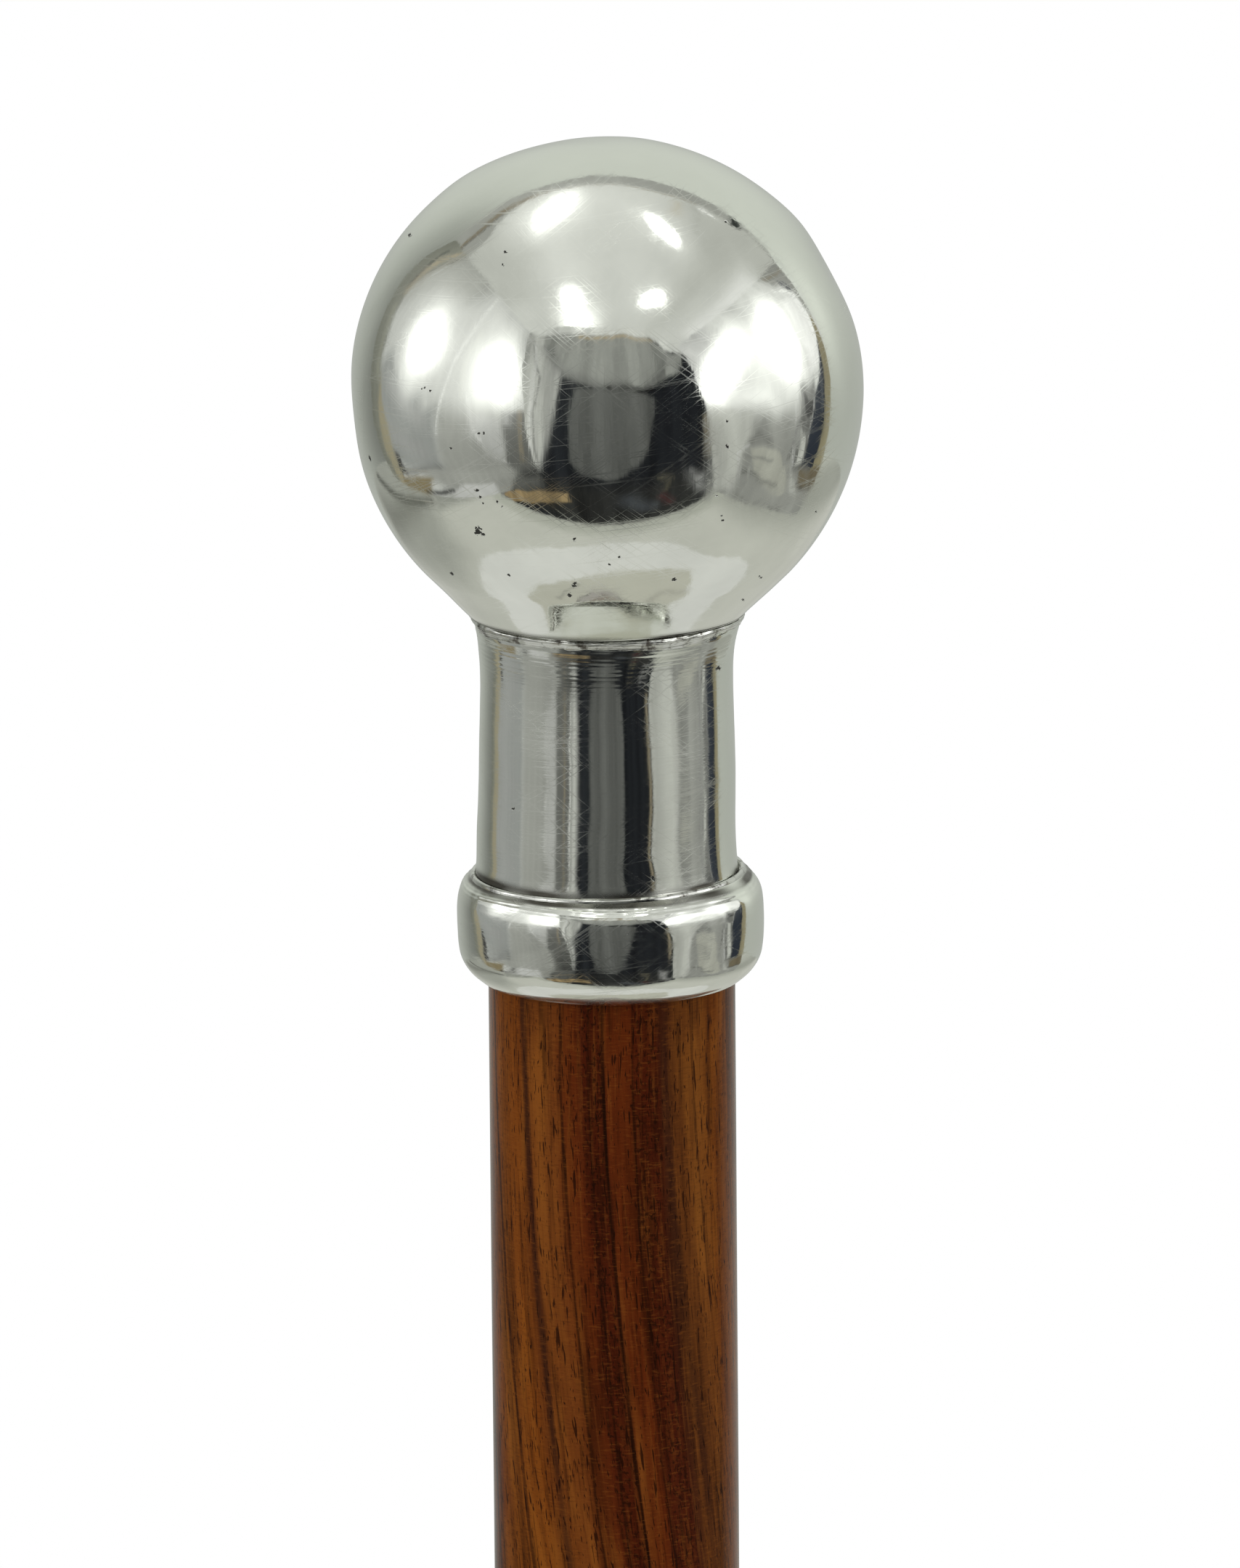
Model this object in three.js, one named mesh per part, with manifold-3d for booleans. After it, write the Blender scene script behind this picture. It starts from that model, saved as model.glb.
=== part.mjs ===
// Knob handle walking stick: a hollow ball knob on a turned neck and collar, screwed onto a
// rosewood shaft that stands on a rubber ferrule. Millimetres, +Z runs up the stick, and the
// origin is the centre of the face that meets the ground.
import * as THREE from "three";
import { mergeVertices } from "three/addons/utils/BufferGeometryUtils.js";
import Module from "manifold-3d";

// Whole stick
const overallLength = 920;
const fitGap = 0.3;
const edgeBreak = 0.6;

// Ball knob: a sphere that runs out in a straight skirt down to the seam with the neck
const ballDiameter = 41.4;
const ballWall = 3;
const skirtStartAngle = THREE.MathUtils.degToRad(45);
const skirtAngle = THREE.MathUtils.degToRad(44);
const seamDiameter = 22.7;

// Neck sleeve: spigot into the ball, web for the bush, socket for the shaft
const neckLength = 22.15;
const neckHeadDiameter = 22.2;
const neckWaistDiameter = 20.4;
const neckBodyDiameter = 21;
const neckFootDiameter = 21.2;
const neckSpigotDiameter = 16;
const neckSpigotHeight = 5.8;
const neckWebThickness = 8.6;
const neckFootInset = 6;

// Collar ring at the foot of the neck
const collarDiameter = 24.9;
const collarHeight = 8.4;
const collarTopEdgeDiameter = 23.2;
const collarLowEdgeDiameter = 21.1;

// Solder: a bead in the groove of the upper seam, a fillet in the corner of the lower one
const solderDiameter = 0.7;
const solderGrooveDepth = 1.5;
const solderGrooveHeight = 1.3;
const solderFilletWidth = 0.4;
const solderFilletHeight = 0.6;

// Screw that holds the handle on the shaft
const threadDiameter = 7.7;
const threadCoreDiameter = 6.2;
const threadPitch = 1.25;
const threadRootWidth = 0.92;
const threadCrestWidth = 0.2;
const threadFlankGap = 0.16;
const threadRunOutTurns = 0.5;
const studEngagement = 9.5;
const studShankDiameter = 8;
const studShankLength = 46;
const studGrooveDepth = 0.5;
const studGrooveWidth = 2;
const studGrooveCount = 5;
const studTipLength = 3;
const bushBarrelDiameter = 11;
const bushFlangeDiameter = 14.8;
const bushFlangeThickness = 1.5;

// Leather washer between the shoulder of the shaft and the neck
const seatWasherThickness = 1;
const seatWasherPlay = 0.25;

// Shaft: tenon, shoulder, straight top and long taper to the tip
const shaftTopDiameter = 20;
const shaftTipDiameter = 16;
const shaftStraightLength = 160;
const tenonDiameter = 16.3;
const tenonTopPlay = 0.8;
const tenonChamfer = 1;
const studHoleSpare = 2;
const drillPointLength = 2.5;

// Rubber ferrule with its steel washer
const ferruleHeight = 38;
const ferruleFloor = 7;
const ferruleBaseDiameter = 28;
const ferruleBaseHeight = 6;
const ferruleBodyDiameter = 21.8;
const ferruleSweepHeight = 9;
const ferruleRimDiameter = 22.8;
const ferruleRimHeight = 2.4;
const ferruleRibDepth = 0.55;
const ferruleRibWidth = 2;
const ferruleRibCount = 3;
const ferruleWasherThickness = 1.5;
const ferruleWasherDiameter = 15.6;
const treadPadDiameter = 7;
const treadRidgeWidth = 2;
const treadGrooveWidth = 1.8;
const treadGrooveDepth = 1.2;

// Counts of facets
const roundSides = 40;
const hiddenSides = 32;
const threadSides = 16;
const solderSides = 5;
const ballArcSteps = 12;
const cavityArcSteps = 8;
const outlineSteps = 12;
const taperSteps = 8;
const sweepSteps = 4;

// Shape of the neck: how far down its length, and how much of the flare is left there
const neckHeadShares = [[0, 1], [0.06, 0.55], [0.12, 0.28], [0.18, 0.1], [0.28, 0]];
const neckBodyShares = [[0.28, 0], [0.48, 0.45], [0.7, 0.8], [0.89, 1]];
// Shape of the collar: how far down its height, and how much of its bulge stands out there
const collarTopShares = [[0, 0], [0.07, 0.41], [0.15, 0.77], [0.24, 0.95], [0.35, 1]];
const collarLowShares = [[0.35, 1], [0.6, 0.94], [0.72, 0.84], [0.82, 0.56], [0.9, 0.22], [1, 0]];
const taperPowerShare = 1.5;

// Heights worked out from the sizes above, from the ball down to the ground
const ballRadius = ballDiameter / 2;
const seamRadius = seamDiameter / 2;
const ballZ = overallLength - ballRadius;
const skirtStartRadius = ballRadius * Math.sin(skirtStartAngle);
const skirtStartZ = ballZ - ballRadius * Math.cos(skirtStartAngle);
const seamZ = skirtStartZ - (skirtStartRadius - seamRadius) / Math.tan(skirtAngle);
const neckTopZ = seamZ - fitGap;
const spigotTopZ = neckTopZ + neckSpigotHeight;
const webLowZ = spigotTopZ - neckWebThickness;
const collarTopZ = seamZ - neckLength;
const neckShoulderZ = collarTopZ + fitGap;
const collarLowZ = collarTopZ - collarHeight;
const neckFootZ = collarTopZ - neckFootInset;
const seatWasherTopZ = neckFootZ - fitGap;
const seatWasherLowZ = seatWasherTopZ - seatWasherThickness;
const shoulderZ = seatWasherLowZ - fitGap;
const tenonTopZ = webLowZ - tenonTopPlay;
const studTopZ = webLowZ + studEngagement;
const studLowZ = tenonTopZ - studShankLength;
const ferruleWasherLowZ = ferruleFloor + fitGap;
const shaftTipZ = ferruleWasherLowZ + ferruleWasherThickness + fitGap;

// Radii that one piece takes from its neighbour
const shaftTopRadius = shaftTopDiameter / 2;
const tenonRadius = tenonDiameter / 2;
const socketRadius = tenonRadius + fitGap;
const collarBoreRadius = shaftTopRadius + fitGap;
const neckInsetRadius = collarBoreRadius - fitGap;
const spigotRadius = neckSpigotDiameter / 2;
const mouthRadius = spigotRadius + fitGap;
const bushBarrelRadius = bushBarrelDiameter / 2;
const bushHoleRadius = bushBarrelRadius + fitGap;
const studHoleRadius = studShankDiameter / 2 + fitGap;
const threadRadius = threadDiameter / 2;
const threadCoreRadius = threadCoreDiameter / 2;
const bushBoreRadius = threadCoreRadius + fitGap;
const shaftTipRadius = shaftTipDiameter / 2;
const ferruleBoreRadius = shaftTipRadius + fitGap;
const solderRadius = solderDiameter / 2;
const solderGrooveHalf = solderGrooveHeight / 2;

const wasm = await Module();
wasm.setup();

// A closed geometry as a solid that can be joined and cut.
function solidFrom(geometry) {
  const bare = geometry.clone();
  bare.deleteAttribute("normal");
  bare.deleteAttribute("uv");
  const merged = mergeVertices(bare);
  const mesh = new wasm.Mesh({
    numProp: 3,
    vertProperties: merged.getAttribute("position").array,
    triVerts: new Uint32Array(merged.index.array),
  });
  return new wasm.Manifold(mesh);
}

// The solid's triangles as a geometry again, with flat faces.
function geometryFrom(solid) {
  const mesh = solid.getMesh();
  const positions = new THREE.BufferAttribute(new Float32Array(mesh.vertProperties), mesh.numProp);
  const geometry = new THREE.BufferGeometry();
  geometry.setAttribute("position", positions);
  geometry.setIndex(new THREE.BufferAttribute(new Uint32Array(mesh.triVerts), 1));
  const flat = geometry.toNonIndexed();
  flat.computeVertexNormals();
  return flat;
}

// Turns an outline of [radius, height] points round the Z axis. The outline runs with the
// material on its left: up the outside of a piece, and down the inside of a bore.
function turned(outline, sides = roundSides) {
  const points = outline.map(([radius, height]) => new THREE.Vector2(radius, height));
  return new THREE.LatheGeometry(points, sides).rotateX(Math.PI / 2);
}

// The same for an outline that never meets the axis, closed on its first point.
function turnedRing(outline, sides = roundSides) {
  return turned([...outline, outline[0]], sides);
}

// Points on an arc round the axis point at the given height, from one polar angle to another,
// where the angle is measured from straight up.
function arc(centreZ, radius, fromAngle, toAngle, steps) {
  return Array.from({ length: steps + 1 }, (_, step) => {
    const angle = THREE.MathUtils.lerp(fromAngle, toAngle, step / steps);
    return [radius * Math.sin(angle), centreZ + radius * Math.cos(angle)];
  });
}

// A smooth outline through a few points, sampled evenly.
function smooth(points, steps) {
  const curve = new THREE.SplineCurve(points.map(([radius, height]) => new THREE.Vector2(radius, height)));
  return curve.getPoints(steps).map((point) => [point.x, point.y]);
}

// A table of [length share, size share] between two heights and two radii.
function shaped(shares, topZ, length, baseRadius, fullRadius) {
  return shares.map(([down, out]) => [
    THREE.MathUtils.lerp(baseRadius, fullRadius, out),
    topZ - down * length,
  ]);
}

// One right-hand thread ridge as a closed swept trapezoid. It starts at startZ, its crest rises
// out of the core over the run-out at each end, and its foot is sunk under the core.
function threadRidge({ startZ, turns, footRadius, crestRadius, footWidth, crestWidth, runOut }) {
  const steps = Math.round(turns * threadSides);
  const positions = [];
  for (let step = 0; step <= steps; step++) {
    const turn = (step / steps) * turns;
    const angle = turn * 2 * Math.PI;
    const rise = runOut ? Math.min(1, turn / runOut, (turns - turn) / runOut) : 1;
    const crest = THREE.MathUtils.lerp(footRadius, crestRadius, Math.max(rise, 1 / threadSides));
    const height = startZ + turn * threadPitch;
    const section = [
      [footRadius, -footWidth / 2],
      [crest, -crestWidth / 2],
      [crest, crestWidth / 2],
      [footRadius, footWidth / 2],
    ];
    for (const [radius, offset] of section) {
      positions.push(radius * Math.cos(angle), radius * Math.sin(angle), height + offset);
    }
  }
  const cornerCount = 4;
  const index = [];
  for (let step = 0; step < steps; step++) {
    for (let corner = 0; corner < cornerCount; corner++) {
      const a = step * cornerCount + corner;
      const b = step * cornerCount + ((corner + 1) % cornerCount);
      index.push(a, a + cornerCount, b, b, a + cornerCount, b + cornerCount);
    }
  }
  const last = steps * cornerCount;
  index.push(0, 1, 2, 0, 2, 3);
  index.push(last, last + 2, last + 1, last, last + 3, last + 2);
  const geometry = new THREE.BufferGeometry();
  geometry.setAttribute("position", new THREE.Float32BufferAttribute(positions, 3));
  geometry.setIndex(index);
  return solidFrom(geometry);
}

// Flank of the thread: its width at any radius, from the widths at its root and its crest.
function threadWidthAt(radius) {
  const flank = (threadCrestWidth - threadRootWidth) / (threadRadius - threadCoreRadius);
  return threadRootWidth + flank * (radius - threadCoreRadius);
}

// Hollow ball with its skirt, the seat on the neck and the mouth for the neck's spigot
function knobBall() {
  const cavityRadius = ballRadius - ballWall;
  const mouthAngle = Math.PI - Math.asin(mouthRadius / cavityRadius);
  const grooveRadius = seamRadius - solderGrooveDepth;
  const grooveEdgeRadius = seamRadius + solderGrooveHalf * Math.tan(skirtAngle);
  return turned([
    ...arc(ballZ, cavityRadius, 0, mouthAngle, cavityArcSteps),
    [mouthRadius, seamZ],
    [grooveRadius, seamZ],
    [grooveEdgeRadius, seamZ + solderGrooveHalf],
    ...arc(ballZ, ballRadius, Math.PI - skirtStartAngle, 0, ballArcSteps),
  ]);
}

// Neck with its spigot, web and socket
function neckSleeve() {
  const waistRadius = neckWaistDiameter / 2;
  const headRadius = neckHeadDiameter / 2;
  const bodyRadius = neckBodyDiameter / 2;
  const footRadius = neckFootDiameter / 2;
  const sideTopZ = neckTopZ - solderGrooveHalf;
  const sideLength = sideTopZ - neckShoulderZ;
  const head = shaped(neckHeadShares, sideTopZ, sideLength, waistRadius, headRadius);
  const body = shaped(neckBodyShares, sideTopZ, sideLength, waistRadius, bodyRadius);
  const side = smooth([...head, ...body.slice(1), [footRadius, neckShoulderZ]], outlineSteps);
  return turnedRing([
    [bushHoleRadius, spigotTopZ],
    [bushHoleRadius, webLowZ],
    [socketRadius, webLowZ],
    [socketRadius, neckFootZ],
    [neckInsetRadius, neckFootZ],
    [neckInsetRadius, neckShoulderZ],
    ...side.reverse(),
    [seamRadius - solderGrooveDepth, neckTopZ],
    [spigotRadius, neckTopZ],
    [spigotRadius, spigotTopZ - edgeBreak],
    [spigotRadius - edgeBreak, spigotTopZ],
  ]);
}

// Collar ring that covers the joint of neck and shaft
function collarRing() {
  const bulgeRadius = collarDiameter / 2;
  const top = shaped(collarTopShares, collarTopZ, collarHeight, collarTopEdgeDiameter / 2, bulgeRadius);
  const low = shaped(collarLowShares, collarTopZ, collarHeight, collarLowEdgeDiameter / 2, bulgeRadius);
  const side = smooth([...top, ...low.slice(1)], outlineSteps);
  return turnedRing([
    [collarBoreRadius, collarTopZ],
    [collarBoreRadius, collarLowZ],
    ...side.reverse(),
  ]);
}

// Solder bead in the groove between ball and neck
function upperSolder() {
  const torus = new THREE.TorusGeometry(seamRadius - solderRadius, solderRadius, solderSides, roundSides);
  return torus.translate(0, 0, (seamZ + neckTopZ) / 2);
}

// Solder fillet in the corner between the foot of the neck and the top of the collar
function lowerSolder() {
  const innerRadius = neckFootDiameter / 2 + fitGap;
  const lowZ = collarTopZ + fitGap;
  return turnedRing([
    [innerRadius, lowZ + solderFilletHeight],
    [innerRadius, lowZ],
    [innerRadius + solderFilletWidth, lowZ],
  ]);
}

// Threaded rod: screw thread at the top, glued shank with ring grooves in the shaft
function jointStud() {
  const shankRadius = studShankDiameter / 2;
  const grooveRadius = shankRadius - studGrooveDepth;
  const groovePitch = (studShankLength - studTipLength) / (studGrooveCount + 1);
  const grooves = [];
  for (let number = 1; number <= studGrooveCount; number++) {
    const middle = studLowZ + studTipLength + number * groovePitch;
    grooves.push([shankRadius, middle - studGrooveWidth / 2]);
    grooves.push([grooveRadius, middle - studGrooveWidth / 4]);
    grooves.push([grooveRadius, middle + studGrooveWidth / 4]);
    grooves.push([shankRadius, middle + studGrooveWidth / 2]);
  }
  const blank = turned([
    [0, studLowZ],
    [shankRadius - edgeBreak, studLowZ],
    [shankRadius, studLowZ + edgeBreak],
    ...grooves,
    [shankRadius, tenonTopZ - fitGap],
    [threadCoreRadius, tenonTopZ],
    [threadCoreRadius, studTopZ - edgeBreak],
    [threadCoreRadius - edgeBreak, studTopZ],
    [0, studTopZ],
  ], threadSides);
  const footRadius = threadCoreRadius - fitGap;
  const startZ = tenonTopZ + threadRootWidth;
  const ridge = threadRidge({
    startZ,
    turns: (studTopZ - edgeBreak - threadRootWidth / 2 - startZ) / threadPitch,
    footRadius,
    crestRadius: threadRadius,
    footWidth: threadWidthAt(footRadius),
    crestWidth: threadCrestWidth,
    runOut: threadRunOutTurns,
  });
  return geometryFrom(solidFrom(blank).add(ridge));
}

// Flanged bush in the web of the neck, with the thread that takes the stud
function threadBush() {
  const flangeLowZ = spigotTopZ + fitGap;
  const flangeTopZ = flangeLowZ + bushFlangeThickness;
  const flangeRadius = bushFlangeDiameter / 2;
  const blank = turnedRing([
    [bushBoreRadius, flangeTopZ],
    [bushBoreRadius, webLowZ],
    [bushBarrelRadius, webLowZ],
    [bushBarrelRadius, flangeLowZ],
    [flangeRadius, flangeLowZ],
    [flangeRadius, flangeTopZ],
  ], threadSides);
  const footRadius = bushBoreRadius - fitGap;
  const grooveRadius = threadRadius + fitGap;
  const turnsBelow = Math.ceil((tenonTopZ + threadRootWidth - webLowZ) / threadPitch) + 2;
  const startZ = tenonTopZ + threadRootWidth - turnsBelow * threadPitch;
  const groove = threadRidge({
    startZ,
    turns: Math.ceil((flangeTopZ - startZ) / threadPitch) + 1,
    footRadius,
    crestRadius: grooveRadius,
    footWidth: threadWidthAt(footRadius) + 2 * threadFlankGap,
    crestWidth: threadWidthAt(grooveRadius) + 2 * threadFlankGap,
    runOut: 0,
  });
  return geometryFrom(solidFrom(blank).subtract(groove));
}

// Leather washer on the shoulder of the shaft
function seatWasher() {
  const innerRadius = socketRadius;
  const outerRadius = neckInsetRadius - seatWasherPlay;
  return turnedRing([
    [innerRadius, seatWasherTopZ],
    [innerRadius, seatWasherLowZ],
    [outerRadius, seatWasherLowZ],
    [outerRadius, seatWasherTopZ],
  ], hiddenSides);
}

// Shaft with its tenon, the hole for the stud and the taper to the tip
function stickShaft() {
  const holeLowZ = studLowZ - studHoleSpare;
  const straightLowZ = shoulderZ - shaftStraightLength;
  const taper = Array.from({ length: taperSteps + 1 }, (_, step) => {
    const down = step / taperSteps;
    const thinning = down ** taperPowerShare;
    return [
      THREE.MathUtils.lerp(shaftTopRadius, shaftTipRadius, thinning),
      THREE.MathUtils.lerp(straightLowZ, shaftTipZ, down),
    ];
  });
  return turned([
    [0, shaftTipZ],
    [shaftTipRadius - edgeBreak, shaftTipZ],
    [shaftTipRadius, shaftTipZ + edgeBreak],
    ...taper.slice(0, -1).reverse(),
    [shaftTopRadius, shoulderZ],
    [tenonRadius, shoulderZ],
    [tenonRadius, tenonTopZ - tenonChamfer],
    [tenonRadius - tenonChamfer, tenonTopZ],
    [studHoleRadius, tenonTopZ],
    [studHoleRadius, holeLowZ],
    [0, holeLowZ - drillPointLength],
  ]);
}

// Rubber ferrule: ribbed cup on a spread foot, with ring grooves in its tread
function rubberFerrule() {
  const baseRadius = ferruleBaseDiameter / 2;
  const bodyRadius = ferruleBodyDiameter / 2;
  const rimRadius = ferruleRimDiameter / 2;
  const sweepTopZ = ferruleBaseHeight + ferruleSweepHeight;
  const rimLowZ = ferruleHeight - ferruleRimHeight;
  const tread = [[treadPadDiameter / 2, 0]];
  const ridgePitch = treadRidgeWidth + treadGrooveWidth;
  const ridgeCount = Math.floor((baseRadius - treadPadDiameter / 2) / ridgePitch);
  for (let number = 0; number < ridgeCount; number++) {
    const grooveStart = treadPadDiameter / 2 + number * ridgePitch;
    const grooveEnd = grooveStart + treadGrooveWidth;
    const ridgeEnd = number === ridgeCount - 1 ? baseRadius - edgeBreak : grooveEnd + treadRidgeWidth;
    tread.push([grooveStart, treadGrooveDepth], [grooveEnd, treadGrooveDepth]);
    tread.push([grooveEnd, 0], [ridgeEnd, 0]);
  }
  const sweep = Array.from({ length: sweepSteps + 1 }, (_, step) => {
    const angle = (step / sweepSteps) * (Math.PI / 2);
    return [
      bodyRadius + (baseRadius - bodyRadius) * (1 - Math.sin(angle)),
      sweepTopZ - ferruleSweepHeight * Math.cos(angle),
    ];
  });
  const ribs = [];
  const ribPitch = (rimLowZ - sweepTopZ) / (ferruleRibCount + 1);
  for (let number = 1; number <= ferruleRibCount; number++) {
    const middle = sweepTopZ + number * ribPitch;
    ribs.push([bodyRadius, middle - ferruleRibWidth / 2]);
    ribs.push([bodyRadius + ferruleRibDepth, middle - ferruleRibWidth / 4]);
    ribs.push([bodyRadius + ferruleRibDepth, middle + ferruleRibWidth / 4]);
    ribs.push([bodyRadius, middle + ferruleRibWidth / 2]);
  }
  return turned([
    [0, 0],
    ...tread,
    [baseRadius, edgeBreak],
    ...sweep,
    ...ribs,
    [bodyRadius, rimLowZ],
    [rimRadius, rimLowZ + edgeBreak],
    [rimRadius, ferruleHeight - edgeBreak],
    [rimRadius - edgeBreak, ferruleHeight],
    [ferruleBoreRadius, ferruleHeight],
    [ferruleBoreRadius, ferruleFloor],
    [0, ferruleFloor],
  ], hiddenSides);
}

// Steel disc that keeps the tip of the shaft from cutting through the rubber
function ferruleWasher() {
  const discRadius = ferruleWasherDiameter / 2;
  const topZ = ferruleWasherLowZ + ferruleWasherThickness;
  return turned([
    [0, ferruleWasherLowZ],
    [discRadius, ferruleWasherLowZ],
    [discRadius, topZ],
    [0, topZ],
  ], hiddenSides);
}

const polishedPewter = { color: 0xb9bdb2, roughness: 0.12, metalness: 1 };
const brightSolder = { color: 0xa9aca4, roughness: 0.3, metalness: 1 };
const zincSteel = { color: 0x9a9c9e, roughness: 0.35, metalness: 1 };
const brownLeather = { color: 0x5a3520, roughness: 0.85, metalness: 0 };
const lacqueredRosewood = { color: 0x6b3316, roughness: 0.25, metalness: 0 };
const blackRubber = { color: 0x1c1c1d, roughness: 0.8, metalness: 0 };

const walkingStick = new THREE.Group();
walkingStick.name = "knob_handle_walking_stick";

// Adds one named piece with its own material to the given group.
function place(group, name, geometry, finish) {
  const mesh = new THREE.Mesh(geometry, new THREE.MeshStandardMaterial(finish));
  mesh.name = name;
  group.add(mesh);
}

const handle = new THREE.Group();
place(handle, "knob_ball", knobBall(), polishedPewter);
place(handle, "neck_sleeve", neckSleeve(), polishedPewter);
place(handle, "collar_ring", collarRing(), polishedPewter);
place(handle, "solder_ring_upper", upperSolder(), brightSolder);
place(handle, "solder_ring_lower", lowerSolder(), brightSolder);
place(handle, "thread_bush", threadBush(), zincSteel);

const stick = new THREE.Group();
place(stick, "shaft", stickShaft(), lacqueredRosewood);
place(stick, "joint_stud", jointStud(), zincSteel);
place(stick, "seat_washer", seatWasher(), brownLeather);

const foot = new THREE.Group();
place(foot, "ferrule", rubberFerrule(), blackRubber);
place(foot, "ferrule_washer", ferruleWasher(), zincSteel);

walkingStick.add(handle, stick, foot);

export default walkingStick;
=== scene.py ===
"""Knob handle walking stick: a polished ball knob, neck and collar on a lacquered rosewood shaft.

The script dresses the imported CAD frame. Everything is in metres in the frame's own axes: +Z runs
up the stick, and the photograph looks along +Y and a little down. Each sub-assembly is a class
that reads its place from the frame, builds its pieces as turned surfaces and gives them a finish.
"""

import logging
import math
from dataclasses import dataclass
from enum import Enum
from typing import Callable, Optional, Sequence

import bpy
import numpy as np
from mathutils import Matrix, Vector


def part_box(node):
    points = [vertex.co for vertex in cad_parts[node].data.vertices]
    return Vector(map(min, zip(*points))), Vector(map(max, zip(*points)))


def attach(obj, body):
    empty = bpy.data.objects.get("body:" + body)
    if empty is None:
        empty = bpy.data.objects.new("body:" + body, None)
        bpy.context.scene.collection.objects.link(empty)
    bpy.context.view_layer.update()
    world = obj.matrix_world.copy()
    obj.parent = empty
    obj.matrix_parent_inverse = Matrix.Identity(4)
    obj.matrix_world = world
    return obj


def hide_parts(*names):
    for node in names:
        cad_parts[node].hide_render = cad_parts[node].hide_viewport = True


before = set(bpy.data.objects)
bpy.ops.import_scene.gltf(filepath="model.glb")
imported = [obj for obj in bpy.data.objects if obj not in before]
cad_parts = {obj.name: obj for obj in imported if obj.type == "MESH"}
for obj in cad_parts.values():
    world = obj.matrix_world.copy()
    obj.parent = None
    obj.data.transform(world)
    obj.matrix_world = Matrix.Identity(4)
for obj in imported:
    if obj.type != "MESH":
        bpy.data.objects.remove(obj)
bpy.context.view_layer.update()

LOG = logging.getLogger("walking_stick")
MM = 0.001
TURN = 2.0 * math.pi
CAMERA_HEIGHT = 13.2  # degrees above the horizon

Array = np.ndarray
Colour = tuple[float, float, float]
Place = tuple[float, float, float]


# Shapes


def smooth_step(low: float, high: float, value: Array) -> Array:
    """Eases from 0 at low to 1 at high: 3 t^2 - 2 t^3, where t is the share of the way."""
    share = np.clip((np.asarray(value) - low) / (high - low), 0.0, 1.0)
    return share * share * (3.0 - 2.0 * share)


def bell(distance: Array, width: float) -> Array:
    """Bell curve that is 1 in its middle: e to the power of minus the square of distance / width."""
    return np.exp(-np.square(np.asarray(distance) / width))


def off_axis(points: Array) -> Array:
    """Distance of each point from the stick's axis."""
    return np.hypot(points[..., 0], points[..., 1])


def round_axis(points: Array) -> Array:
    """Angle of each point round the stick's axis, in radians from +X."""
    return np.arctan2(points[..., 1], points[..., 0])


@dataclass(frozen=True)
class Ripples:
    """Faint waves that filing and polishing by hand leave on a surface.

    The rise at a point is a sum of plane sine waves, each with its own direction, length and
    phase, so the waves run over seams and poles without a break.
    """

    height: float
    length: float
    seed: int
    count: int = 12

    def rise(self, points: Array) -> Array:
        """Rise of the surface at the given points.

        Args:
            points: Places as an array that ends in x, y, z.

        Returns:
            One rise for each point, in metres.
        """
        chance = np.random.default_rng(self.seed)
        directions = chance.normal(size=(self.count, 3))
        directions /= np.linalg.norm(directions, axis=1, keepdims=True)
        lengths = self.length * chance.uniform(0.7, 1.6, size=(self.count, 1))
        phases = chance.uniform(0.0, TURN, size=self.count)
        waves = np.sin(points @ (TURN * directions / lengths).T + phases)
        return self.height * math.sqrt(2.0 / self.count) * waves.sum(axis=-1)


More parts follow.
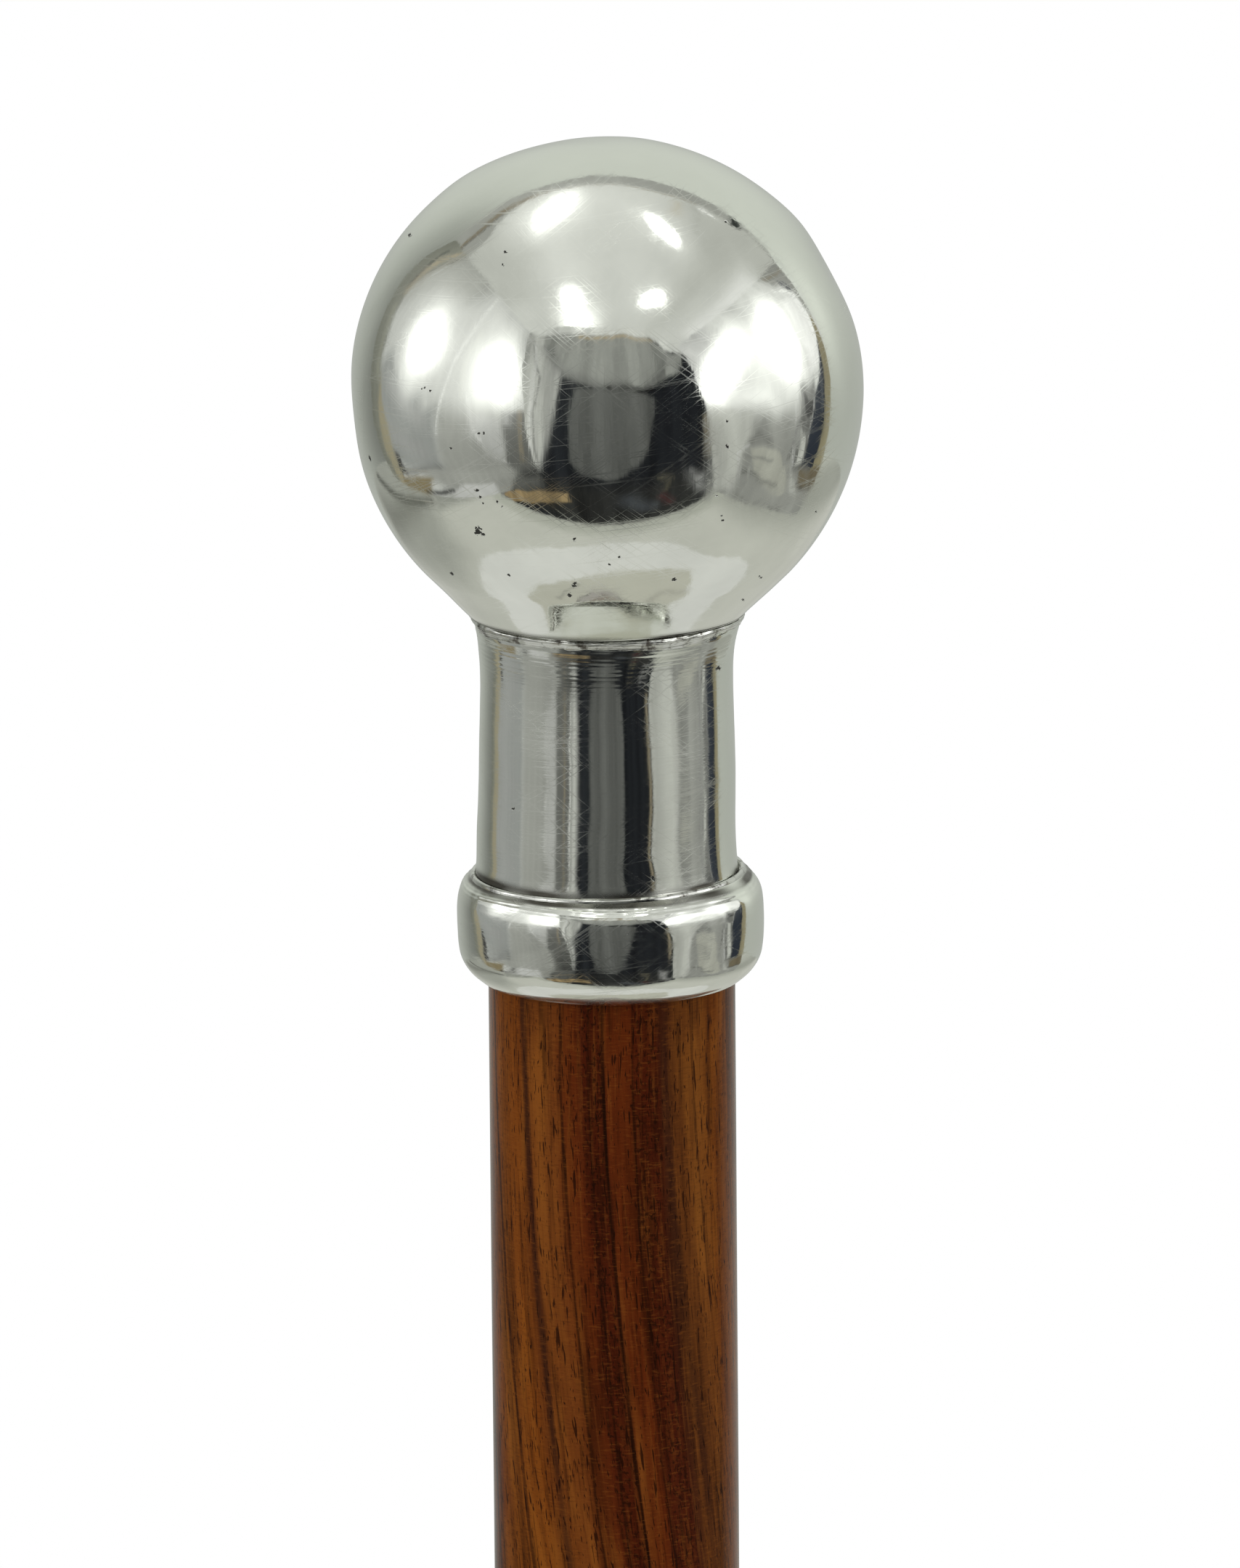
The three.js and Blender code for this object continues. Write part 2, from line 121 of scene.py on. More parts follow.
class Outline:
    """Outline of a turned piece as [radius, height] points, drawn stretch by stretch."""

    def __init__(self, radius: float, height: float) -> None:
        """Starts the outline at a radius and a height."""
        self.stretches: list[Array] = [np.array([[radius, height]])]
        self.straight: list[bool] = [False]

    @property
    def end(self) -> Array:
        """The last point drawn so far."""
        return self.stretches[-1][-1]

    def follow(self, points: Array, straight: bool = False) -> "Outline":
        """Draws through points, whose chords stay whole unless they are straight lines."""
        self.stretches.append(points)
        self.straight.append(straight)
        return self

    def line(self, radius: float, height: float) -> "Outline":
        """Draws a straight line to a point."""
        return self.follow(np.array([[radius, height]]), True)

    def arc(self, centre: tuple[float, float], start: float, stop: float, steps: int = 8,
            radius: Optional[float] = None) -> "Outline":
        """Draws an arc round a centre.

        Args:
            centre: Radius and height of the arc's centre.
            start: First angle in degrees, from straight up and growing outwards.
            stop: Last angle in degrees.
            steps: Number of chords.
            radius: Radius of the arc, or the last point's distance from the centre.

        Returns:
            The outline itself.
        """
        reach = radius or float(np.hypot(*(self.end - np.array(centre))))
        angle = np.radians(np.linspace(start, stop, steps + 1))
        return self.follow(np.stack([centre[0] + reach * np.sin(angle),
                                     centre[1] + reach * np.cos(angle)], axis=1))

    def curve(self, points: Sequence[Sequence[float]], steps: int) -> "Outline":
        """Draws a smooth curve through points, the first of them included.

        Between two points the curve is the cubic whose slopes at both are those of its
        neighbours, taken over the distance along the chords.

        Args:
            points: Radius and height of each point.
            steps: Number of chords.

        Returns:
            The outline itself.
        """
        knots = np.asarray(points, dtype=float)
        reach = np.concatenate([[0.0], np.cumsum(np.hypot(*np.diff(knots, axis=0).T))])
        slopes = np.gradient(knots, reach, axis=0)
        along = np.linspace(0.0, reach[-1], steps + 1)
        first = np.clip(np.searchsorted(reach, along, side="right") - 1, 0, len(knots) - 2)
        span = (reach[first + 1] - reach[first])[:, None]
        share = (along - reach[first])[:, None] / span
        square, cube = share ** 2, share ** 3
        return self.follow(
            (2 * cube - 3 * square + 1) * knots[first] + (cube - 2 * square + share) * span * slopes[first]
            + (3 * square - 2 * cube) * knots[first + 1] + (cube - square) * span * slopes[first + 1])

    def points(self, spacing: float) -> Array:
        """All points, with long straight lines divided evenly.

        Args:
            spacing: Greatest distance between two points of a straight line.

        Returns:
            An array of [radius, height] rows without doubles.
        """
        raw = np.concatenate(self.stretches)
        straight = np.repeat(self.straight, [len(stretch) for stretch in self.stretches])
        apart = np.concatenate([[True], np.hypot(*np.diff(raw, axis=0).T) > 1e-9])
        raw, straight = raw[apart], straight[apart]
        lengths = np.hypot(*np.diff(raw, axis=0).T)
        parts = np.where(straight[1:], np.maximum(1.0, np.ceil(lengths / spacing)), 1.0).astype(int)
        owner = np.repeat(np.arange(len(parts)), parts)
        step = np.arange(len(owner)) - np.repeat(np.cumsum(parts) - parts, parts)
        share = (step / parts[owner])[:, None]
        inner = raw[owner] * (1.0 - share) + raw[owner + 1] * share
        return np.concatenate([inner, raw[-1:]])


def mesh_object(name: str, points: Array, faces: Array, sharp_degrees: float = 40.0) -> bpy.types.Object:
    """Puts corner and face arrays into a new smooth-shaded mesh object at the origin.

    Args:
        name: Name of the object and its mesh.
        points: Corner places, one row each.
        faces: Corner numbers of each face, four to a row, where a triangle repeats its last one.
        sharp_degrees: Edges that turn by more than this keep a hard shade.

    Returns:
        The new object, linked to the scene.
    """
    count = np.where(faces[:, 3] == faces[:, 2], 3, 4)
    keep = np.arange(4)[None, :] < count[:, None]
    corners = faces[keep]
    mesh = bpy.data.meshes.new(name)
    mesh.vertices.add(len(points))
    mesh.vertices.foreach_set("co", points.astype(np.float32).ravel())
    mesh.loops.add(len(corners))
    mesh.loops.foreach_set("vertex_index", corners.astype(np.int32))
    mesh.polygons.add(len(faces))
    mesh.polygons.foreach_set("loop_start", (np.cumsum(count) - count).astype(np.int32))
    mesh.polygons.foreach_set("loop_total", count.astype(np.int32))
    mesh.polygons.foreach_set("use_smooth", np.ones(len(faces), dtype=bool))
    mesh.update(calc_edges=True)
    mesh.set_sharp_from_angle(angle=math.radians(sharp_degrees))
    made = bpy.data.objects.new(name, mesh)
    bpy.context.scene.collection.objects.link(made)
    return made


def grid_faces(rows: int, columns: int, wrap_rows: bool, wrap_columns: bool) -> Array:
    """Faces of a grid of corners that are numbered row by row.

    Args:
        rows: Number of rows.
        columns: Number of columns.
        wrap_rows: Whether the last row joins the first.
        wrap_columns: Whether the last column joins the first.

    Returns:
        Four corner numbers for each face.
    """
    row = np.arange(rows if wrap_rows else rows - 1)[:, None]
    column = np.arange(columns if wrap_columns else columns - 1)[None, :]
    below, beside = (row + 1) % rows, (column + 1) % columns
    corners = [row * columns + column, row * columns + beside,
               below * columns + beside, below * columns + column]
    return np.stack([np.broadcast_to(c, (row.size, column.size)) for c in corners], axis=-1).reshape(-1, 4)


Change = Callable[[Array], Array]


@dataclass
class Turning:
    """A closed piece turned round the Z axis, with what hand work changed on its surface.

    A corner lies at radius times the cosine and sine of its column's angle, at its row's height.
    It then moves by `rise` along the outline's normal, and last by `bend`, which returns whole
    new places.
    """

    name: str
    outline: Outline
    columns: int = 128
    spacing: float = 1.0 * MM
    rise: Optional[Change] = None
    bend: Optional[Change] = None
    soil: Optional[Change] = None

    def build(self) -> bpy.types.Object:
        """Builds the mesh, closed at its poles where the outline meets the axis.

        Returns:
            The object, with the soil of its creases as a point attribute.
        """
        outline = self.outline.points(self.spacing)
        solid = outline[0, 0] < 1e-7 and outline[-1, 0] < 1e-7
        if not solid and np.hypot(*(outline[0] - outline[-1])) < 1e-7:
            outline = outline[:-1]
        after = np.roll(outline, -1, axis=0)
        if np.sum(outline[:, 0] * after[:, 1] - after[:, 0] * outline[:, 1]) < 0:
            outline = outline[::-1]
        ahead, behind = np.roll(outline, -1, axis=0), np.roll(outline, 1, axis=0)
        if solid:
            ahead[-1], behind[0] = outline[-1], outline[0]
        slope = ahead - behind
        normal = np.stack([slope[:, 1], -slope[:, 0]], axis=1)
        normal /= np.maximum(np.hypot(*normal.T), 1e-12)[:, None]
        angle = np.arange(self.columns) * TURN / self.columns
        across = np.stack([np.cos(angle), np.sin(angle)], axis=1)

        def spun(radial: Array, axial: Array) -> Array:
            """Turns radial and axial amounts of each row round the axis."""
            flat = radial[:, None, None] * across[None]
            high = np.broadcast_to(axial[:, None, None], (*flat.shape[:2], 1))
            return np.concatenate([flat, high], axis=2)

        points = spun(outline[:, 0], outline[:, 1])
        if self.rise is not None:
            points = points + self.rise(points)[..., None] * spun(normal[:, 0], normal[:, 1])
        if self.bend is not None:
            points = self.bend(points)
        rows = len(outline)
        if solid:
            first, last = points[0].mean(axis=0), points[-1].mean(axis=0)
            middle = points[1:-1].reshape(-1, 3)
            low, high = len(middle), len(middle) + 1
            ring = np.arange(self.columns)
            beside = (ring + 1) % self.columns
            top = (rows - 3) * self.columns
            caps = [np.stack([np.full_like(ring, low), beside, ring, ring], axis=1),
                    np.stack([top + ring, top + beside, np.full_like(ring, high),
                              np.full_like(ring, high)], axis=1)]
            faces = np.concatenate([grid_faces(rows - 2, self.columns, False, True), *caps])
            corners = np.concatenate([middle, [first], [last]])
        else:
            faces = grid_faces(rows, self.columns, True, True)
            corners = points.reshape(-1, 3)
        made = mesh_object(self.name, corners, faces)
        soil = np.zeros(len(corners)) if self.soil is None else self.soil(corners)
        layer = made.data.attributes.new("soil", "FLOAT", "POINT")
        layer.data.foreach_set("value", np.clip(soil, 0.0, 1.0).astype(np.float32))
        return made


# Material nodes


class Nodes:
    """One node tree, with short ways to add and join its nodes."""

    def __init__(self, tree: bpy.types.NodeTree) -> None:
        """Wraps a node tree."""
        self.tree = tree

    def add(self, kind: str, joined: Optional[dict] = None, **settings: object) -> bpy.types.Node:
        """Adds a node.

        Args:
            kind: Type of the node without its ShaderNode prefix.
            joined: Value or output socket for each named or numbered input.
            settings: The node's own properties.

        Returns:
            The new node.
        """
        node = self.tree.nodes.new("ShaderNode" + kind)
        for key, value in settings.items():
            setattr(node, key, value)
        return self.join(node, joined or {})

    def join(self, node: bpy.types.Node, joined: dict) -> bpy.types.Node:
        """Feeds a value or an output socket into each named or numbered input of a node."""
        for key, value in joined.items():
            self.feed(node.inputs[key], value)
        return node

    def feed(self, socket: bpy.types.NodeSocket, value: object) -> None:
        """Joins an output socket to an input, or sets the input's own value."""
        if isinstance(value, bpy.types.NodeSocket):
            self.tree.links.new(value, socket)
        elif socket.type == "RGBA" and len(value) == 3:
            socket.default_value = (*value, 1.0)
        else:
            socket.default_value = value

    def math(self, operation: str, *values: object, clamp: bool = False) -> bpy.types.NodeSocket:
        """Result of a Math node on up to three values or sockets."""
        joined = dict(enumerate(values))
        return self.add("Math", joined, operation=operation, use_clamp=clamp).outputs[0]

    def noise(self, place: object, scale: float, detail: float = 2.0, roughness: float = 0.5,
              bend: float = 0.0) -> bpy.types.NodeSocket:
        """Value of a noise texture, from 0 to 1."""
        return self.add("TexNoise", {"Vector": place, "Scale": scale, "Detail": detail,
                                     "Roughness": roughness, "Distortion": bend}).outputs[0]

    def stretched(self, place: object, scale: object,
                  turn: Place = (0.0, 0.0, 0.0)) -> bpy.types.NodeSocket:
        """A place scaled by a number for each axis, after a turn in degrees."""
        if any(turn):
            angles = tuple(math.radians(angle) for angle in turn)
            place = self.add("VectorRotate", {"Vector": place, "Rotation": angles},
                             rotation_type="EULER_XYZ").outputs[0]
        return self.add("VectorMath", {0: place, 1: scale}, operation="MULTIPLY").outputs[0]

    def drawn_out(self, place: object, across: float, along: float, detail: float = 2.0,
                  roughness: float = 0.5) -> bpy.types.NodeSocket:
        """Value of a noise with its own waves per metre across and along the stick."""
        return self.noise(self.stretched(place, (across, across, along)), 1.0, detail, roughness)

    def ease(self, value: object, low: float, high: float, start: float = 0.0,
             stop: float = 1.0) -> bpy.types.NodeSocket:
        """Eases from start at low to stop at high."""
        return self.add("MapRange", {"Value": value, "From Min": low, "From Max": high, "To Min": start,
                                     "To Max": stop}, interpolation_type="SMOOTHSTEP").outputs[0]

    def mix(self, share: object, first: object, second: object, kind: str = "MIX") -> bpy.types.NodeSocket:
        """Mixes two colours by a share, or by another blend kind."""
        node = self.add("Mix", data_type="RGBA", blend_type=kind, clamp_factor=True)
        return self.join(node, {0: share, 6: first, 7: second}).outputs[2]

    def ramp(self, value: object, stops: Sequence[tuple[float, Colour]]) -> bpy.types.NodeSocket:
        """Colour of a ramp with the given places and colours."""
        node = self.add("ValToRGB", {0: value})
        band = node.color_ramp
        while len(band.elements) < len(stops):
            band.elements.new(0.5)
        for element, (place, colour) in zip(band.elements, stops):
            element.position = place
            element.color = (*colour, 1.0)
        return node.outputs[0]

    def attribute(self, name: str) -> bpy.types.NodeSocket:
        """Value of a point attribute of the mesh."""
        return self.add("Attribute", attribute_name=name).outputs["Fac"]

    def object_place(self) -> bpy.types.NodeSocket:
        """Place of the shaded point in the object's own metres."""
        return self.add("TexCoord").outputs["Object"]

    def bump(self, height: object, depth: float, strength: float = 1.0) -> bpy.types.NodeSocket:
        """Normal of a height pattern that is `depth` metres deep."""
        return self.add("Bump", {"Strength": strength, "Distance": depth, "Height": height}).outputs[0]


class SocketKind(Enum):
    """Kinds of sockets that the shared effects take and give."""

    VALUE = "NodeSocketFloat"
    VECTOR = "NodeSocketVector"


class Effect(Nodes):
    """A surface effect that several finishes share, kept as a node group."""

    def __init__(self, name: str, vectors: Sequence[str], values: Sequence[str],
                 results: Sequence[str]) -> None:
        """Starts the group.

        Args:
            name: Name of the group.
            vectors: Names of its vector inputs.
            values: Names of its number inputs.
            results: Names of its outputs, which are numbers.
        """
        super().__init__(bpy.data.node_groups.new(name, "ShaderNodeTree"))
        for labels, side, kind in ((vectors, "INPUT", SocketKind.VECTOR),
                                   (values, "INPUT", SocketKind.VALUE),
                                   (results, "OUTPUT", SocketKind.VALUE)):
            for label in labels:
                self.tree.interface.new_socket(label, in_out=side, socket_type=kind.value)
        self.given = self.tree.nodes.new("NodeGroupInput").outputs
        self.made = self.tree.nodes.new("NodeGroupOutput").inputs

    def give(self, label: str, socket: bpy.types.NodeSocket) -> None:
        """Joins a result to an output of the group."""
        self.tree.links.new(socket, self.made[label])

    def place_in(self, nodes: Nodes, joined: dict) -> bpy.types.Node:
        """Places the group in a material, with a value or socket for each input."""
        return nodes.add("Group", joined, node_tree=self.tree)


class Effects:
    """The shared effects, each built once."""

    def __init__(self) -> None:
        """Builds every effect."""
        self.polish = self._polish()
        self.pits = self._pits()
        self.dust = self._dust()
        self.vein = self._vein()
        self.hairlines = self._hairlines()
        self.chip = self._chip()

    @staticmethod
    def _polish() -> Effect:
        """Hair-fine marks of polishing: noise drawn out along one axis, and the haze they leave."""
        effect = Effect("polishing marks", ("Place", "Smears"), (), ("Height", "Haze"))
        lines = effect.noise(effect.given["Place"], 1.0, 3.0, 0.65)
        smears = effect.noise(effect.given["Smears"], 1.0, 2.0, 0.55, 0.4)
        effect.give("Height", effect.math("MULTIPLY", lines, smears))
        effect.give("Haze", effect.math("MULTIPLY", effect.ease(smears, 0.42, 0.72),
                                        effect.ease(lines, 0.35, 0.7)))
        return effect

    @staticmethod
    def _cells(effect: Effect, share: str) -> tuple[bpy.types.NodeSocket, ...]:
        """Round cells: the distance to each, whether luck chose it, and a second luck."""
        cells = effect.add("TexVoronoi", {"Vector": effect.given["Place"],
                                          "Scale": effect.given["Cells"]}).outputs
        luck = effect.add("SeparateColor", {0: cells["Color"]}).outputs
        return cells["Distance"], effect.math("LESS_THAN", luck[0], effect.given[share]), luck[1]

    @classmethod
    def _pits(cls) -> Effect:
        """Casting pores: round cells of which only a few are open, each with its own ragged edge."""
        effect = Effect("casting pits", ("Place",), ("Cells", "Open", "Size"), ("Pit",))
        ragged = effect.noise(effect.given["Place"], 1800.0, 2.0)
        away, chosen, luck = cls._cells(effect, "Open")
        reach = effect.math("MULTIPLY", effect.given["Size"],
                            effect.math("ADD", luck, effect.math("MULTIPLY", ragged, 0.9)))
        inside = effect.math("SUBTRACT", reach, away)
        effect.give("Pit", effect.math("MULTIPLY", chosen, effect.ease(inside, 0.0, 0.03)))
        return effect

    @classmethod
    def _dust(cls) -> Effect:
        """Specks of dust: tiny round cells of which a few are chosen."""
        effect = Effect("dust specks", ("Place",), ("Cells", "Share"), ("Dust",))
        away, chosen, _ = cls._cells(effect, "Share")
        effect.give("Dust", effect.math("MULTIPLY", chosen, effect.ease(away, 0.10, 0.05)))
        return effect

    @staticmethod
    def _vein() -> Effect:
        """Dark vein: an eased step of the arc length from its leaning middle line, in patches."""
        effect = Effect("wood vein", (),
                        ("Arc", "Lean", "Patchy", "Start", "Tilt", "Width", "Depth"), ("Share",))
        given = effect.given
        middle = effect.math("MULTIPLY_ADD", given["Lean"], given["Tilt"], given["Start"])
        away = effect.math("ABSOLUTE", effect.math("SUBTRACT", given["Arc"], middle))
        near = effect.math("SUBTRACT", 1.0, effect.math("DIVIDE", away, given["Width"]), clamp=True)
        dark = effect.math("MULTIPLY", effect.ease(near, 0.0, 0.85),
                           effect.ease(given["Patchy"], 0.3, 0.6, 0.55, 1.0))
        effect.give("Share", effect.math("MULTIPLY", dark, given["Depth"]))
        return effect

    @staticmethod
    def _hairlines() -> Effect:
        """Hairline scratches: the highest ridges of a noise that is tight along one axis, in patches."""
        effect = Effect("hairline scratches", ("Place",), ("Patchy", "Rare"), ("Scratch",))
        ridge = effect.math("SUBTRACT", effect.noise(effect.given["Place"], 1.0, 1.0), effect.given["Rare"])
        effect.give("Scratch", effect.math("MULTIPLY", effect.ease(ridge, 0.0, 0.04),
                                           effect.ease(effect.given["Patchy"], 0.30, 0.70, 0.30, 1.0)))
        return effect

    @staticmethod
    def _chip() -> Effect:
        """One chip with a ragged edge, by the distance to its spot in the plane of the photograph."""
        effect = Effect("ragged chip", ("Seen", "Spot"), ("Ragged", "Size"), ("Pit",))
        away = effect.add("VectorMath", {0: effect.given["Seen"], 1: effect.given["Spot"]},
                          operation="DISTANCE").outputs["Value"]
        reach = effect.math("MULTIPLY", effect.given["Size"],
                            effect.math("MULTIPLY_ADD", effect.given["Ragged"], 3.6, -0.9))
        effect.give("Pit", effect.ease(effect.math("SUBTRACT", reach, away), 0.0, 0.05 * MM))
        return effect


# Finishes


def new_finish(name: str) -> tuple[bpy.types.Material, Nodes, bpy.types.Node]:
    """Starts a material.

    Args:
        name: Name of the material.

    Returns:
        The material, its nodes, and its Principled shader.
    """
    material = bpy.data.materials.new(name)
    material.use_nodes = True
    nodes = Nodes(material.node_tree)
    shader = next(node for node in material.node_tree.nodes if node.type == "BSDF_PRINCIPLED")
    return material, nodes, shader


class Brushing(Enum):
    """Direction of the polishing marks, as marks per metre along X, Y and Z."""

    BALL = (900.0, 900.0, 120.0)
    NECK = (160.0, 160.0, 5200.0)
    RING = (260.0, 260.0, 2600.0)


@dataclass(frozen=True)
class Hairlines:
    """One family of scratches: the turn of its planes, its waves per metre and how rare it is."""

    turn: Place
    scale: Place
    rare: float


@dataclass(frozen=True)
class Chip:
    """A chip as the photograph shows it: millimetres right of and above the ball's centre."""

    side: float
    up: float
    size: float


@dataclass(frozen=True)
class PewterFinish:
    """Cast pewter with a hand polish: a soft mirror with fine marks, pores and dark creases."""

    name: str
    brushing: Brushing
    colour: Colour = (0.845, 0.865, 0.800)
    crease_colour: Colour = (0.10, 0.095, 0.08)
    pore_colour: Colour = (0.07, 0.07, 0.065)
    gloss: float = 0.045
    haze: float = 0.14
    pore_cells: float = 210.0
    pore_share: float = 0.10
    pore_size: float = 0.075
    pore_depth: float = 6.0
    pore_roughness: float = 0.4
    crease_roughness: float = 0.25
    mark_depth: float = 0.012 * MM
    dulling: float = 0.92
    scratch: float = 0.16
    scratch_depth: float = 0.06
    hairlines: tuple[Hairlines, ...] = (
        Hairlines((0, 34, 0), (60, 60, 9000), 0.63), Hairlines((0, -38, 8), (80, 80, 10000), 0.64),
        Hairlines((0, 7, 0), (50, 50, 9500), 0.63))
    wiping: tuple[float, float] = (500.0, 500.0)
    wiped: float = 0.018
    chips: tuple[Chip, ...] = ()

    def chipped(self, nodes: Nodes, effects: Effects, place: object, pit: object) -> object:
        """Adds the chips to the casting pits.

        A place is turned by the camera's height, so that X and Z are those of the photograph, and
        its depth is dropped. Only the front half of the piece has chips.

        Args:
            nodes: The material's nodes.
            effects: The shared effects.
            place: Place of the shaded point.
            pit: Share of the casting pits.

        Returns:
            Share of pits and chips together.
        """
        ball = NodeSpan.of("knob_ball")
        offset = nodes.add("VectorMath", {0: place, 1: (0.0, 0.0, ball.high - ball.radius)},
                           operation="SUBTRACT").outputs[0]
        turned = nodes.add("VectorRotate", {"Vector": offset, "Angle": math.radians(CAMERA_HEIGHT)},
                           rotation_type="X_AXIS").outputs[0]
        seen = nodes.stretched(turned, (1.0, 0.0, 1.0))
        ragged = nodes.noise(place, 3400.0, 2.0, 0.6)
        facing = nodes.math("LESS_THAN", nodes.add("SeparateXYZ", {0: place}).outputs[1], 0.0)
        for chip in self.chips:
            made = effects.chip.place_in(nodes, {"Seen": seen, "Spot": (chip.side * MM, 0.0, chip.up * MM),
                                                 "Ragged": ragged, "Size": chip.size * MM})
            pit = nodes.math("MAXIMUM", pit, nodes.math("MULTIPLY", made.outputs["Pit"], facing))
        return pit

    def material(self, effects: Effects) -> bpy.types.Material:
        """Builds the material.

        Args:
            effects: The shared effects.

        Returns:
            The material.
        """
        material, nodes, shader = new_finish(self.name)
        place = nodes.object_place()
        polish = effects.polish.place_in(nodes, {
            "Place": nodes.stretched(place, self.brushing.value),
            "Smears": nodes.stretched(place, (190.0, 190.0, 150.0), (0.0, 25.0, 0.0))}).outputs
        pits = effects.pits.place_in(nodes, {"Place": place, "Cells": self.pore_cells,
                                             "Open": self.pore_share, "Size": self.pore_size})
        pit = self.chipped(nodes, effects, place, pits.outputs["Pit"])
        patchy = nodes.noise(place, 130.0, 2.0, 0.6)
        scratches = 0.0
        for family in self.hairlines:
            made = effects.hairlines.place_in(nodes, {
                "Place": nodes.stretched(place, family.scale, family.turn),
                "Patchy": patchy, "Rare": family.rare})
            scratches = nodes.math("MAXIMUM", made.outputs["Scratch"], scratches)
        wiped = nodes.ease(nodes.drawn_out(place, *self.wiping, 3.0, 0.6), 0.45, 0.70, 0.0, self.wiped)
        soil = nodes.attribute("soil")
        tone = nodes.ease(nodes.noise(place, 140.0, 3.0, 0.6), 0.3, 0.8, 0.0, 0.5)
        clean = nodes.mix(tone, self.colour, tuple(channel * self.dulling for channel in self.colour))
        creased = nodes.mix(soil, clean, self.crease_colour)
        rough = nodes.math("ADD", self.gloss, nodes.math("MULTIPLY", polish["Haze"], self.haze))
        rough = nodes.math("MULTIPLY_ADD", soil, self.crease_roughness, nodes.math("ADD", rough, wiped))
        rough = nodes.math("MULTIPLY_ADD", scratches, self.scratch, rough)
        height = nodes.math("SUBTRACT", polish["Height"], nodes.math("MULTIPLY", pit, self.pore_depth))
        height = nodes.math("MULTIPLY_ADD", scratches, -self.scratch_depth, height)
        nodes.join(shader, {
            "Base Color": nodes.mix(pit, creased, self.pore_colour), "Metallic": 1.0,
            "Roughness": nodes.math("MULTIPLY_ADD", pit, self.pore_roughness, rough, clamp=True),
            "Normal": nodes.bump(height, self.mark_depth)})
        return material


@dataclass(frozen=True)
class SolderFinish:
    """Soft solder, filed by hand and left a little rough."""

    name: str = "filed solder"
    colour: Colour = (0.66, 0.67, 0.63)
    grime: Colour = (0.12, 0.11, 0.095)

    def material(self, effects: Effects) -> bpy.types.Material:
        """Builds the material from the shared effects."""
        material, nodes, shader = new_finish(self.name)
        place = nodes.object_place()
        polish = effects.polish.place_in(nodes, {
            "Place": nodes.stretched(place, (420.0, 420.0, 6000.0)),
            "Smears": nodes.stretched(place, (500.0, 500.0, 1500.0))}).outputs
        grime = nodes.ease(nodes.noise(place, 900.0, 3.0, 0.6), 0.52, 0.70)
        nodes.join(shader, {
            "Base Color": nodes.mix(grime, self.colour, self.grime), "Metallic": 1.0,
            "Roughness": nodes.math("ADD", 0.10, nodes.math("MULTIPLY", polish["Haze"], 0.25)),
            "Normal": nodes.bump(polish["Height"], 0.05 * MM)})
        return material


@dataclass(frozen=True)
class Vein:
    """Dark line in the figure of the rosewood, in millimetres.

    Its middle starts at an arc length from the shaft's front and drifts by a sine wave that
    begins with the given lean.
    """

    start: float
    width: float
    darkness: float
    lean: float = 0.0


@dataclass(frozen=True)
class Shading:
    """One noise of the rosewood: its highs are shaded with the pale colour, its lows with the dark.

    It has its own waves per metre across and along the grain. Highs and lows each say where they
    start, where they are full and how much they cover there.
    """

    across: float
    along: float
    detail: float
    roughness: float
    highs: tuple[float, float, float]
    lows: tuple[float, float, float]


